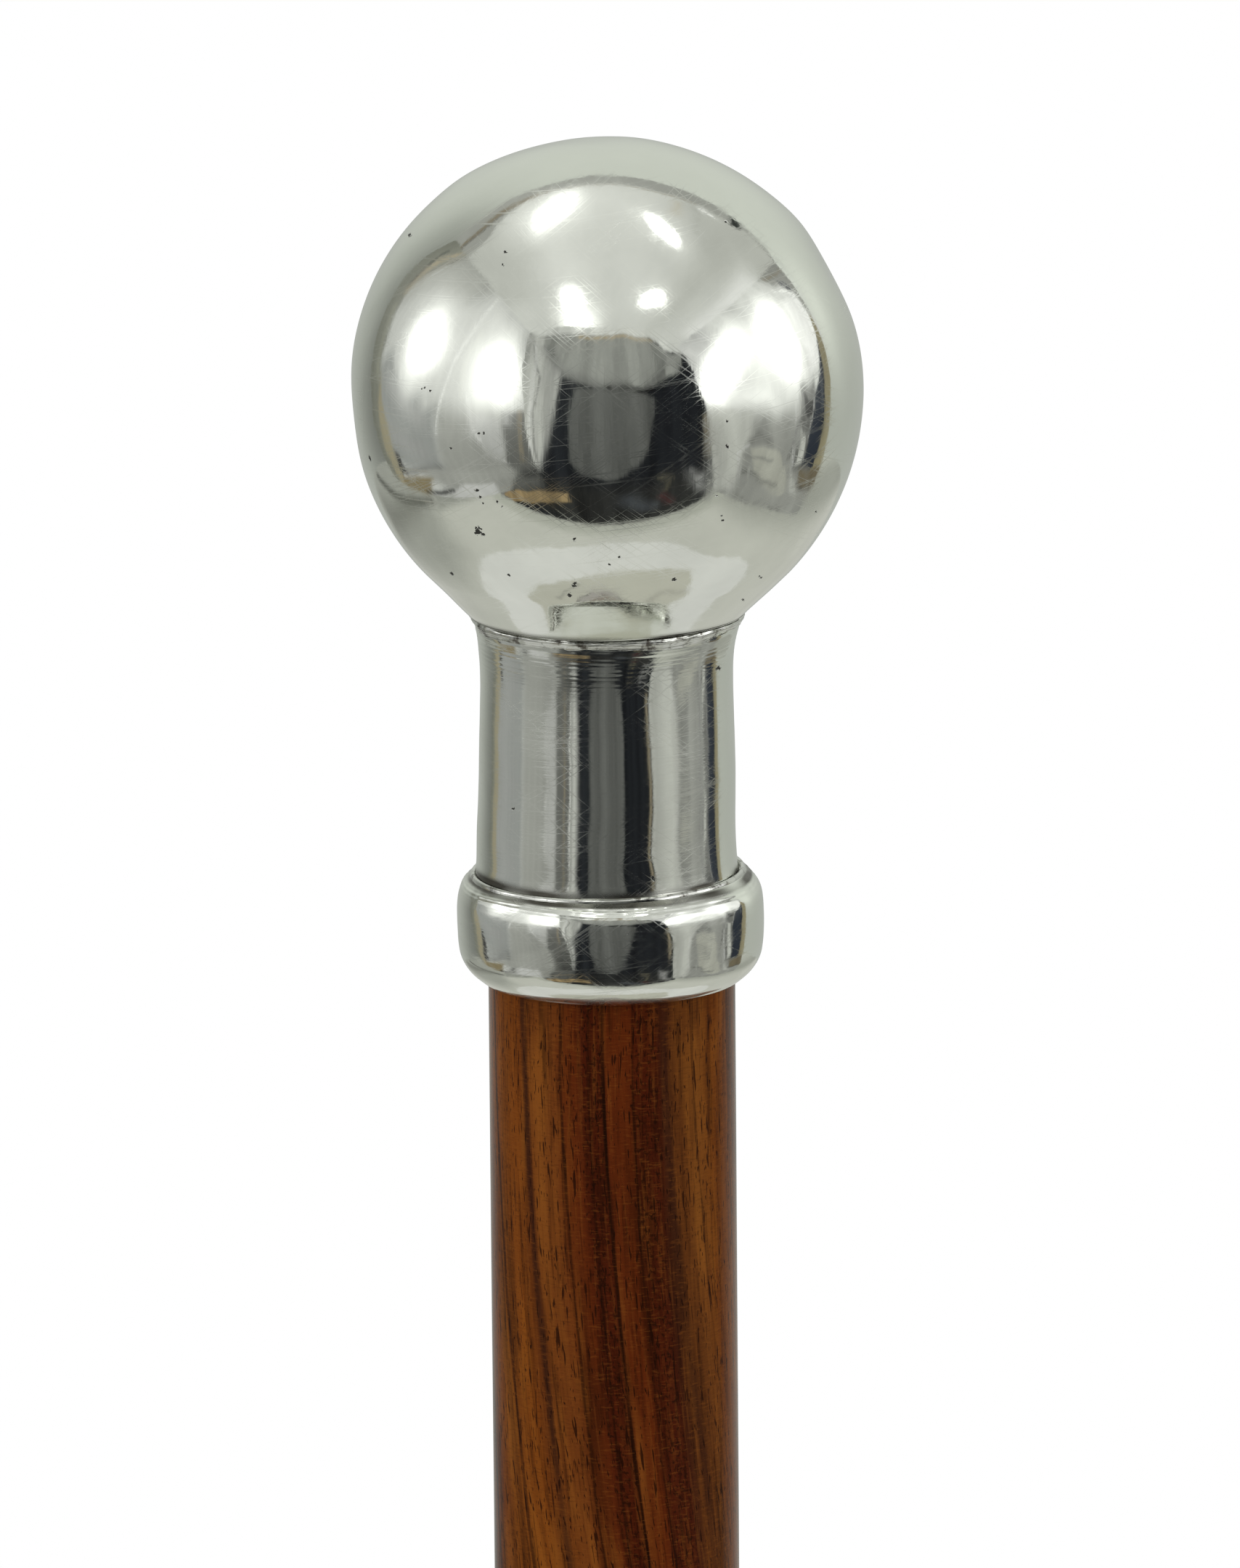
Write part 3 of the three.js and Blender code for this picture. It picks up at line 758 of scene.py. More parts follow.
@dataclass(frozen=True)
class RosewoodFinish:
    """Rosewood under a thin clear lacquer.

    The grain turns slowly round the shaft: a place is first turned back by the grain's drift, one
    minus the cosine of the way down. The ground colour then follows the arc length round the
    shaft, with dark veins, mottled red bands, pores and pale cross flecks over it. Bands and
    veins are given in millimetres of arc length from the shaft's front, like the girth. A vein
    wider than the purple width is purple, and a finer one is dark.
    """

    name: str = "lacquered rosewood"
    radius: float = 10.0 * MM
    girth: float = 62.8
    top: float = 850.0 * MM
    purple_width: float = 0.4
    drift: float = 0.9
    drift_length: float = 320.0 * MM
    lean_length: float = 45.0 * MM
    dark: Colour = (0.010, 0.0024, 0.0008)
    purple: Colour = (0.024, 0.0068, 0.0028)
    pale: Colour = (0.170, 0.054, 0.0075)
    ochre: Colour = (0.130, 0.046, 0.0050)
    dust: Colour = (0.40, 0.33, 0.26)
    cloud: Shading = Shading(420.0, 26.0, 3.0, 0.6, (0.50, 0.72, 0.40), (0.48, 0.28, 0.55))
    streak: Shading = Shading(1200.0, 70.0, 3.0, 0.65, (0.52, 0.75, 0.32), (0.48, 0.27, 0.60))
    fibre: Shading = Shading(3000.0, 130.0, 2.0, 0.6, (0.54, 0.75, 0.26), (0.47, 0.25, 0.50))
    fleck: Shading = Shading(1300.0, 6500.0, 2.0, 0.5, (0.54, 0.72, 0.22), (0.46, 0.28, 0.22))
    red_bands: tuple[tuple[float, float], ...] = ((-1.7, 1.3), (2.7, 1.4))
    bands: tuple[tuple[float, Colour], ...] = (
        (-31.4, (0.080, 0.020, 0.003)), (-26.0, (0.055, 0.011, 0.002)), (-22.0, (0.105, 0.028, 0.004)),
        (-18.0, (0.045, 0.009, 0.002)), (-14.5, (0.090, 0.023, 0.004)), (-12.4, (0.114, 0.032, 0.0035)),
        (-9.0, (0.124, 0.032, 0.0030)), (-8.0, (0.080, 0.020, 0.0032)), (-7.0, (0.104, 0.028, 0.0042)),
        (-4.9, (0.098, 0.025, 0.0042)), (-4.2, (0.078, 0.0160, 0.0025)), (-3.1, (0.072, 0.0130, 0.0020)),
        (-2.4, (0.044, 0.0065, 0.0014)), (-1.0, (0.042, 0.0065, 0.0014)), (-0.4, (0.068, 0.0120, 0.0018)),
        (1.2, (0.072, 0.0125, 0.0018)), (1.8, (0.046, 0.0068, 0.0014)), (3.6, (0.042, 0.0065, 0.0015)),
        (4.3, (0.040, 0.0100, 0.0030)), (5.0, (0.070, 0.0200, 0.0036)), (7.5, (0.084, 0.0250, 0.0042)),
        (9.0, (0.094, 0.0240, 0.0026)), (10.5, (0.094, 0.0260, 0.0036)), (13.5, (0.090, 0.0250, 0.0036)),
        (17.0, (0.045, 0.009, 0.002)), (21.0, (0.098, 0.026, 0.004)), (26.0, (0.055, 0.012, 0.002)),
        (31.4, (0.080, 0.020, 0.003)))
    veins: tuple[Vein, ...] = (
        Vein(-8.1, 0.50, 0.85, 0.02), Vein(-4.35, 0.20, 0.7), Vein(-0.75, 0.24, 1.0),
        Vein(-1.85, 0.18, 0.7, -0.01), Vein(1.6, 0.16, 0.75), Vein(3.9, 0.65, 0.65, 0.05),
        Vein(-12.6, 0.30, 0.8, 0.045), Vein(6.6, 0.14, 0.45, 0.06), Vein(11.6, 0.30, 0.5, 0.03),
        Vein(15.5, 0.40, 0.8), Vein(20.0, 0.25, 0.7, 0.02), Vein(25.0, 0.5, 0.8),
        Vein(-16.0, 0.35, 0.8), Vein(-20.5, 0.25, 0.7), Vein(-25.5, 0.5, 0.8))

    def shaded(self, nodes: Nodes, colour: object, noise: object, shading: Shading) -> bpy.types.NodeSocket:
        """Lays the pale and the dark colour over the highs and the lows of a noise."""
        for (start, full, cover), tone in ((shading.highs, self.pale), (shading.lows, self.dark)):
            colour = nodes.mix(nodes.ease(noise, start, full, 0.0, cover), colour, tone)
        return colour

    def material(self, effects: Effects) -> bpy.types.Material:
        """Builds the material.

        Args:
            effects: The shared effects.

        Returns:
            The material.
        """
        material, nodes, shader = new_finish(self.name)
        place = nodes.object_place()
        drop = nodes.math("SUBTRACT", self.top, nodes.add("SeparateXYZ", {0: place}).outputs[2])
        wave = nodes.math("COSINE", nodes.math("MULTIPLY", drop, TURN / self.drift_length))
        turn = nodes.math("MULTIPLY", nodes.math("SUBTRACT", wave, 1.0), self.drift)
        grain = nodes.add("VectorRotate", {"Vector": place, "Angle": turn},
                          rotation_type="Z_AXIS").outputs[0]
        sides = nodes.add("SeparateXYZ", {0: grain}).outputs
        angle = nodes.math("ARCTAN2", sides[0], nodes.math("MULTIPLY", sides[1], -1.0))
        arc = nodes.math("MULTIPLY", angle, self.radius)
        cloud, streak, fibre, fleck = (
            nodes.drawn_out(grain, one.across, one.along, one.detail, one.roughness)
            for one in (self.cloud, self.streak, self.fibre, self.fleck))
        bent = nodes.math("MULTIPLY_ADD", nodes.drawn_out(grain, 90.0, 34.0), 0.9 * MM,
                          nodes.math("SUBTRACT", arc, 0.65 * MM))
        bent = nodes.math("MULTIPLY_ADD", fibre, 0.4 * MM, bent)
        lean = nodes.math("MULTIPLY", nodes.math("SINE", nodes.math("DIVIDE", drop, self.lean_length)),
                          self.lean_length)

        def away_from(middle: float) -> bpy.types.NodeSocket:
            """Distance of the arc length from a place in millimetres."""
            return nodes.math("ABSOLUTE", nodes.math("SUBTRACT", bent, middle * MM))

        colour = nodes.ramp(nodes.math("ADD", nodes.math("DIVIDE", bent, self.girth * MM), 0.5),
                            [(max(0.0, min(1.0, spot / self.girth + 0.5)), tone)
                             for spot, tone in self.bands])
        colour = self.shaded(nodes, colour, cloud, self.cloud)
        warm = nodes.ease(nodes.drawn_out(grain, 520.0, 60.0, 2.0, 0.6), 0.50, 0.66, 0.0, 0.32)
        beside = nodes.ease(away_from(0.8), 3.4 * MM, 6.0 * MM)
        colour = nodes.mix(nodes.math("MULTIPLY", beside, warm), colour, self.ochre, "SCREEN")
        colour = self.shaded(nodes, colour, streak, self.streak)
        colour = self.shaded(nodes, colour, fibre, self.fibre)
        patchy = nodes.drawn_out(grain, 200.0, 90.0)
        for vein in self.veins:
            line = effects.vein.place_in(nodes, {
                "Arc": bent, "Lean": lean, "Patchy": patchy, "Start": vein.start * MM, "Tilt": vein.lean,
                "Width": vein.width * MM, "Depth": vein.darkness})
            tone = self.purple if vein.width > self.purple_width else self.dark
            colour = nodes.mix(line.outputs["Share"], colour, tone)
        redness = 0.0
        for middle, reach in self.red_bands:
            redness = nodes.math("MAXIMUM", nodes.ease(away_from(middle), reach * MM, 0.7 * MM), redness)
        mottle = nodes.ease(nodes.drawn_out(grain, 3300.0, 2300.0, 2.0, 0.6), 0.50, 0.68, 0.0, 0.75)
        colour = nodes.mix(nodes.math("MULTIPLY", redness, mottle), colour, self.dark)
        colour = self.shaded(nodes, colour, fleck, self.fleck)
        pore = nodes.math("MAXIMUM", nodes.ease(nodes.drawn_out(grain, 4200.0, 420.0, 1.0), 0.64, 0.70),
                          nodes.ease(nodes.drawn_out(grain, 6500.0, 1300.0, 1.0), 0.65, 0.71))
        colour = nodes.mix(nodes.math("MULTIPLY", pore, 0.85), colour, self.dark)
        specks = {"Place": place, "Cells": 330.0, "Share": 0.035}
        dust = effects.dust.place_in(nodes, specks).outputs["Dust"]
        colour = nodes.mix(nodes.math("MULTIPLY", dust, 0.55), colour, self.dust)
        facing = nodes.add("LayerWeight", {"Blend": 0.5}).outputs["Facing"]
        sheen = nodes.math("MULTIPLY", nodes.ease(facing, 0.42, 0.78, 0.05, 0.74),
                           nodes.ease(nodes.noise(place, 60.0), 0.2, 0.7, 0.88, 1.1))
        relief = nodes.math("MULTIPLY_ADD", dust, 3.0,
                            nodes.math("MULTIPLY", nodes.drawn_out(place, 300.0, 40.0), 0.8))
        relief = nodes.math("SUBTRACT", relief, nodes.math("MULTIPLY", pore, 0.5))
        nodes.join(shader, {
            "Base Color": colour, "Roughness": nodes.ease(fibre, 0.2, 0.8, 0.34, 0.46),
            "Coat Weight": sheen, "Coat Roughness": 0.07, "Coat IOR": 1.26, "Specular IOR Level": 0.03,
            "Normal": nodes.bump(relief, 0.02 * MM)})
        return material


@dataclass(frozen=True)
class RubberFinish:
    """Moulded black rubber with dust in its matt skin, and scuffs low on its sides."""

    name: str = "black rubber"
    colour: Colour = (0.016, 0.016, 0.017)
    scuffed: Colour = (0.060, 0.058, 0.055)
    dust: Colour = (0.30, 0.29, 0.27)
    scuff_height: float = 7.0 * MM

    def material(self, effects: Effects) -> bpy.types.Material:
        """Builds the material from the shared effects."""
        material, nodes, shader = new_finish(self.name)
        place = nodes.object_place()
        patchy = nodes.drawn_out(place, 500.0, 260.0, 4.0, 0.65)
        low = nodes.ease(nodes.add("SeparateXYZ", {0: place}).outputs[2], self.scuff_height, 0.0)
        scuff = nodes.math("MULTIPLY", nodes.ease(patchy, 0.42, 0.68), nodes.math("ADD", 0.15, low),
                           clamp=True)
        specks = {"Place": place, "Cells": 700.0, "Share": 0.08}
        dust = effects.dust.place_in(nodes, specks).outputs["Dust"]
        colour = nodes.mix(scuff, self.colour, self.scuffed)
        nodes.join(shader, {
            "Base Color": nodes.mix(nodes.math("MULTIPLY", dust, 0.25), colour, self.dust),
            "Roughness": nodes.ease(patchy, 0.3, 0.8, 0.52, 0.74),
            "Normal": nodes.bump(nodes.noise(place, 3200.0, 3.0, 0.6), 0.03 * MM, 0.6)})
        return material


@dataclass(frozen=True)
class ZincFinish:
    """Zinc-plated steel: a dull grey crystal skin with turning marks."""

    name: str = "zinc plated steel"
    pale: Colour = (0.52, 0.53, 0.54)
    dull: Colour = (0.36, 0.37, 0.39)

    def material(self, effects: Effects) -> bpy.types.Material:
        """Builds the material from the shared effects."""
        material, nodes, shader = new_finish(self.name)
        place = nodes.object_place()
        polish = effects.polish.place_in(nodes, {
            "Place": nodes.stretched(place, (300.0, 300.0, 9000.0)),
            "Smears": nodes.stretched(place, (600.0, 600.0, 600.0))})
        flower = nodes.noise(place, 1400.0, 3.0, 0.6)
        nodes.join(shader, {
            "Base Color": nodes.mix(nodes.ease(flower, 0.35, 0.65), self.dull, self.pale), "Metallic": 1.0,
            "Roughness": nodes.ease(flower, 0.3, 0.7, 0.26, 0.42),
            "Normal": nodes.bump(polish.outputs["Height"], 0.02 * MM)})
        return material


@dataclass(frozen=True)
class LeatherFinish:
    """Brown washer leather with open pores and darker cut edges."""

    name: str = "brown leather"
    colour: Colour = (0.13, 0.055, 0.024)
    dark: Colour = (0.055, 0.022, 0.010)

    def material(self, effects: Effects) -> bpy.types.Material:
        """Builds the material from the shared effects."""
        material, nodes, shader = new_finish(self.name)
        place = nodes.object_place()
        pores = {"Place": place, "Cells": 1500.0, "Open": 0.8, "Size": 0.25}
        pit = effects.pits.place_in(nodes, pores).outputs["Pit"]
        tone = nodes.noise(place, 700.0, 4.0, 0.6)
        colour = nodes.mix(nodes.ease(tone, 0.3, 0.75), self.colour, self.dark)
        nodes.join(shader, {
            "Base Color": nodes.mix(pit, colour, self.dark),
            "Roughness": nodes.ease(tone, 0.2, 0.8, 0.6, 0.85),
            "Normal": nodes.bump(nodes.math("MULTIPLY", pit, -1.0), 0.06 * MM)})
        return material


# Pieces of the stick


@dataclass(frozen=True)
class NodeSpan:
    """Lowest height, highest height and radius of a CAD node."""

    low: float
    high: float
    radius: float

    @classmethod
    def of(cls, node: str) -> "NodeSpan":
        """Reads the span of a node from the frame."""
        low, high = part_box(node)
        return cls(low.z, high.z, max(high.x, high.y))


@dataclass(frozen=True)
class Piece:
    """A finished piece with the names that the frame wants for it."""

    made: bpy.types.Object
    body: str
    node: str
    slot: str
    material: bpy.types.Material

    def hand_over(self) -> None:
        """Dresses the piece, lets it ride on its body and hides the CAD node that it stands for."""
        self.made.data.materials.append(self.material)
        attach(self.made, self.body)
        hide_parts(self.node)
        LOG.info("%s: %d faces, rides on %s", self.made.name, len(self.made.data.polygons), self.body)


@dataclass(frozen=True)
class Dent:
    """A shallow bulge or flat of the hand-finished ball.

    Its place is an angle round the outline that the photograph shows, from the right and
    upwards, and a lean towards the camera, both in degrees. Its width is in degrees too, and its
    height in millimetres.
    """

    angle: float
    lean: float
    width: float
    height: float

    def rise(self, directions: Array) -> Array:
        """Rise at the given directions from the ball's centre: a bell curve of the angle away."""
        angle, lean, tip = (math.radians(a) for a in (self.angle, self.lean, CAMERA_HEIGHT))
        side, up = math.cos(angle) * math.cos(lean), math.sin(angle) * math.cos(lean)
        near = math.sin(lean)
        middle = np.array([side, up * math.sin(tip) - near * math.cos(tip),
                           up * math.cos(tip) + near * math.sin(tip)])
        away = np.degrees(np.arccos(np.clip(directions @ middle, -1.0, 1.0)))
        return self.height * MM * bell(away, self.width)


@dataclass
class Handle:
    """Ball knob, neck sleeve, collar ring, their two solder rings and the thread bush.

    Outlines are radii and heights in millimetres from the ball's centre, measured at the
    outline of the photographed handle. A crease is given by the two depths in millimetres below
    that centre between which it is darkest, and by how far its soil reaches beside them.
    """

    body: str = "handle"
    ball_columns: int = 336
    neck_columns: int = 288
    ball_wall: float = 3.0 * MM
    skirt_angle: float = 133.5
    seam_radius: float = 11.13 * MM
    seam_round: float = 0.25 * MM
    mouth_radius: float = 8.3 * MM
    groove_radius: float = 9.9 * MM
    ball_crease: tuple[float, float, float] = (17.95, 18.4, 0.22)
    neck_crease: tuple[float, float, float] = (39.3, 39.7, 0.35)
    collar_crease: tuple[float, float, float] = (39.7, 39.95, 0.14)
    neck_sway: float = 0.12 * MM
    neck_lean: float = 0.13 * MM
    neck_warp: float = 0.36 * MM
    collar_slant: float = 0.014
    dents: tuple[Dent, ...] = (
        Dent(4, 0, 13, 0.04), Dent(28, 5, 9, -0.31), Dent(41, 0, 7, 0.09), Dent(75, 20, 26, -0.10),
        Dent(93, 8, 9, -0.15), Dent(145, 10, 24, 0.19), Dent(104, 5, 7, -0.09), Dent(123, 4, 8, 0.13),
        Dent(186, 0, 10, -0.21), Dent(207, 10, 9, -0.08), Dent(326, 10, 9, -0.08),
        Dent(250, 30, 30, 0.08), Dent(20, 55, 18, 0.05), Dent(160, 50, 16, -0.05))
    neck_outline: tuple[tuple[float, float], ...] = (
        (10.72, -18.9), (10.66, -19.3), (10.56, -19.7), (10.42, -20.45), (10.32, -21.3), (10.25, -22.2),
        (10.21, -23.8), (10.24, -25.6), (10.33, -28.4), (10.40, -31.6), (10.46, -34.8), (10.51, -36.7),
        (10.54, -37.8), (10.57, -38.5), (10.62, -39.05), (10.67, -39.4))
    collar_outline: tuple[tuple[float, float], ...] = (
        (11.16, -39.72), (11.48, -39.96), (11.82, -40.32), (12.12, -40.80), (12.31, -41.35), (12.41, -42.0),
        (12.45, -43.1), (12.41, -44.4), (12.33, -45.4), (12.15, -46.35), (11.83, -47.05), (11.42, -47.6),
        (10.98, -48.0), (10.66, -48.25))
    upper_bead: tuple[tuple[float, float], ...] = (
        (10.30, -18.16), (10.70, -18.08), (10.98, -18.16), (11.09, -18.36), (10.99, -18.62),
        (10.84, -18.82), (10.76, -18.98), (10.68, -19.10))
    lower_bead: tuple[tuple[float, float], ...] = (
        (10.78, -39.42), (10.93, -39.38), (11.06, -39.46), (11.14, -39.62), (11.16, -39.74))

    def __post_init__(self) -> None:
        """Reads the handle's places from the frame."""
        self.ball = NodeSpan.of("knob_ball")
        self.neck = NodeSpan.of("neck_sleeve")
        self.collar = NodeSpan.of("collar_ring")
        self.bush = NodeSpan.of("thread_bush")
        self.radius = self.ball.radius - 0.04 * MM
        self.centre = self.ball.high - self.ball.radius

    def heights(self, outline: Sequence[tuple[float, float]]) -> list[tuple[float, float]]:
        """Outline points in metres, with their heights from the ground."""
        return [(radius * MM, self.centre + height * MM) for radius, height in outline]

    def below(self, points: Array) -> Array:
        """How far points lie below the ball's centre, in millimetres."""
        return (self.centre - points[..., 2]) / MM

    def slanted(self, points: Array) -> Array:
        """Moves points for the crooked seats of the neck and the collar.

        The neck and the collar sit a little to the left of the ball, the neck's foot most of
        all. The collar's upper seam climbs to the right by the slant times x, which fades out
        up the neck and down the collar.
        """
        below = self.below(points)
        foot = 1.0 - 1.4 * smooth_step(39.9, 41.2, below)
        sway = self.neck_sway * smooth_step(15.5, 17.8, below)
        sway = sway + self.neck_lean * smooth_step(31.0, 37.5, below) * foot
        fade = 1.0 - 0.65 * smooth_step(39.5, 41.2, below) - 0.60 * smooth_step(41.5, 47.5, below)
        climb = smooth_step(34.0, 39.4, below) * fade
        moved = points.copy()
        moved[..., 0] -= sway
        moved[..., 2] += self.collar_slant * climb * points[..., 0]
        return moved

    def crease_soil(self, low: float, high: float, depth: float) -> Change:
        """Darkness of a crease: 1 between two heights below the ball's centre, fading beside it."""

        def soil(points: Array) -> Array:
            """Soil of each corner, patchy along the crease."""
            below = self.below(points)
            patches = Ripples(0.35, 5.0 * MM, 5).rise(points)
            away = np.maximum(low - below, 0.0) + np.maximum(below - high, 0.0)
            return bell(away, depth) * (0.75 + patches)

        return soil

    def ball_rise(self, points: Array) -> Array:
        """Rise of the ball's outside: the dents and two sets of faint waves."""
        offset = points - np.array([0.0, 0.0, self.centre])
        reach = np.linalg.norm(offset, axis=-1)
        directions = offset / np.maximum(reach, 1e-9)[..., None]
        rise = sum(dent.rise(directions) for dent in self.dents)
        rise = rise + Ripples(0.012 * MM, 11.0 * MM, 11).rise(points)
        rise = rise + Ripples(0.0022 * MM, 3.6 * MM, 12).rise(points)
        return rise * smooth_step(self.radius - 2.0 * MM, self.radius - 1.0 * MM, reach)

    def ball_knob(self) -> bpy.types.Object:
        """Hollow ball: outer arc, skirt, rounded lip, seat on the neck, mouth and cavity."""
        centre, lip = (0.0, self.centre), self.seam_round
        seam = self.ball.low
        cavity = self.radius - self.ball_wall
        mouth = 180.0 - math.degrees(math.asin(self.mouth_radius / cavity))
        outline = Outline(0.0, self.centre + self.radius)
        outline.arc(centre, 0.0, self.skirt_angle, 190, self.radius)
        outline.line(self.seam_radius + 0.12 * MM, seam + 0.12 * MM)
        outline.arc((self.seam_radius - 0.06 * MM, seam + lip), 115.0, 180.0, 6, lip)
        outline.line(self.mouth_radius, seam)
        outline.arc(centre, mouth, 0.0, 48, cavity)
        return Turning("ball_knob", outline, self.ball_columns, 0.27 * MM, rise=self.ball_rise,
                       bend=self.slanted, soil=self.crease_soil(*self.ball_crease)).build()

    def neck_rise(self, points: Array) -> Array:
        """Rise of the neck: its warp, long hammered waves and the fine rings of a file near its top.

        The warp is a spiral round the neck: it drops by two eased steps at the front, the second
        one long, and climbs back evenly on the way round.
        """
        below = self.below(points)
        turn = np.degrees(np.arctan2(points[..., 0], -points[..., 1]))
        warp = (turn + 180.0) / 360.0
        warp = warp - 0.58 * smooth_step(5.0, 29.0, turn) - 0.42 * smooth_step(-25.0, 55.0, turn)
        warp = warp * smooth_step(18.9, 21.5, below) * (1.0 - 0.45 * smooth_step(35.5, 39.3, below))
        outside = smooth_step(10.05 * MM, 10.15 * MM, off_axis(points))
        angle = round_axis(points)
        rings = (np.sin(below * TURN / 0.42 + 3.0 * np.sin(2.0 * angle))
                 + np.sin(below * TURN / 0.31 + 5.0 * np.sin(angle)))
        rise = Ripples(0.018 * MM, 13.0 * MM, 21).rise(points)
        rise = rise + Ripples(0.003 * MM, 3.0 * MM, 22).rise(points)
        return outside * (rise + self.neck_warp * warp + 0.0042 * MM * rings * bell(below - 20.2, 1.7))

    def neck_sleeve(self) -> bpy.types.Object:
        """Neck with its spigot in the ball, the web for the bush and the socket for the shaft."""
        side = self.heights(self.neck_outline)
        spigot, web = 8.0 * MM, self.neck.high - 8.6 * MM
        socket, barrel, edge = 8.45 * MM, 5.8 * MM, 0.6 * MM
        step = side[-1][1] - 0.25 * MM
        outline = Outline(spigot, self.ball.low - 0.3 * MM)
        outline.line(self.groove_radius, self.ball.low - 0.3 * MM).curve(side, 220)
        outline.line(10.7 * MM, step).line(10.0 * MM, step).line(10.0 * MM, self.neck.low)
        outline.line(socket, self.neck.low).line(socket, web).line(barrel, web)
        outline.line(barrel, self.neck.high).line(spigot - edge, self.neck.high)
        outline.line(spigot, self.neck.high - edge).line(spigot, self.ball.low - 0.3 * MM)
        return Turning("neck_sleeve_turned", outline, self.neck_columns, 0.7 * MM, rise=self.neck_rise,
                       bend=self.slanted, soil=self.crease_soil(*self.neck_crease)).build()

    def collar_ring(self) -> bpy.types.Object:
        """Barrel-shaped collar with a filed step under the neck and a thin lip on the wood."""
        side = self.heights(self.collar_outline)
        bore = 10.3 * MM
        outline = Outline(bore, side[0][1] + 0.02 * MM)
        outline.line(11.06 * MM, side[0][1] + 0.05 * MM).curve(side, 120)
        outline.line(10.5 * MM, side[-1][1] - 0.08 * MM).line(bore, side[-1][1])
        outline.line(bore, side[0][1] + 0.02 * MM)

        def rise(points: Array) -> Array:
            """Waves on the face, and rough file marks round the upper edge."""
            below = self.below(points)
            outside = smooth_step(10.6 * MM, 10.9 * MM, off_axis(points))
            rough = Ripples(0.015 * MM, 1.3 * MM, 33, 20).rise(points)
            turn = round_axis(points)
            rough = rough + 0.015 * MM * np.sin(below * TURN / 0.30 + 2.0 * np.sin(2.0 * turn)
                                                + 1.3 * np.sin(5.0 * turn))
            rough = rough * bell(below - 40.2, 0.46)
            return outside * (Ripples(0.02 * MM, 8.0 * MM, 31).rise(points)
                              + Ripples(0.004 * MM, 2.6 * MM, 32).rise(points) + rough)

        return Turning("collar_ring_turned", outline, self.neck_columns, 0.3 * MM, rise=rise,
                       bend=self.slanted, soil=self.crease_soil(*self.collar_crease)).build()

    def bead(self, name: str, crown: Sequence[tuple[float, float]], back: Sequence[tuple[float, float]],
             seed: int, unevenness: float) -> bpy.types.Object:
        """Uneven bead of solder.

        Args:
            name: Name of the piece.
            crown: Points of its shown side, downwards.
            back: Points of its hidden side, upwards.
            seed: Seed of its waves.
            unevenness: Height of its waves.

        Returns:
            The bead.
        """
        first = self.heights(crown)
        outline = Outline(*first[0]).curve(first, 44)
        for radius, height in self.heights(back):
            outline.line(radius, height)
        outline.line(*first[0])
        inner = min(radius for radius, _ in self.heights(back))

        def rise(points: Array) -> Array:
            """Lumps that grow towards the shown side, and fine file lines."""
            radius = off_axis(points)
            lumps = (Ripples(unevenness, 7.0 * MM, seed).rise(points)
                     + Ripples(0.45 * unevenness, 1.6 * MM, seed + 1, 24).rise(points))
            lines = 0.012 * MM * np.sin(points[..., 2] * TURN / (0.21 * MM)
                                        + Ripples(2.5, 9.0 * MM, seed + 2).rise(points))
            return (lumps + lines) * smooth_step(inner + 0.15 * MM, inner + 0.7 * MM, radius)

        return Turning(name, outline, 420, 0.12 * MM, rise=rise, bend=self.slanted).build()

    def solder_rings(self) -> tuple[bpy.types.Object, bpy.types.Object]:
        """Bead in the groove under the ball, and bead in the corner on the collar."""
        upper = self.bead("solder_bead_upper", self.upper_bead,
                          ((10.35, -18.85), (10.05, -18.55), (10.05, -18.30)), 41, 0.055 * MM)
        lower = self.bead("solder_bead_lower", self.lower_bead,
                          ((10.88, -39.73), (10.88, -39.60)), 51, 0.022 * MM)
        return upper, lower

    def thread_bush(self) -> bpy.types.Object:
        """Flanged bush with its female thread."""
        return ScrewThread().bush(self.bush, flange_thickness=1.5 * MM, barrel=5.5 * MM)

    def build(self, finishes: "Finishes") -> list[Piece]:
        """Builds and lists the handle's pieces."""
        upper, lower = self.solder_rings()
        return [
            Piece(self.ball_knob(), self.body, "knob_ball", "pewter", finishes.ball),
            Piece(self.neck_sleeve(), self.body, "neck_sleeve", "pewter", finishes.neck),
            Piece(self.collar_ring(), self.body, "collar_ring", "pewter", finishes.ring),
            Piece(upper, self.body, "solder_ring_upper", "solder", finishes.solder),
            Piece(lower, self.body, "solder_ring_lower", "solder", finishes.solder),
            Piece(self.thread_bush(), self.body, "thread_bush", "zinc_steel", finishes.zinc),
        ]


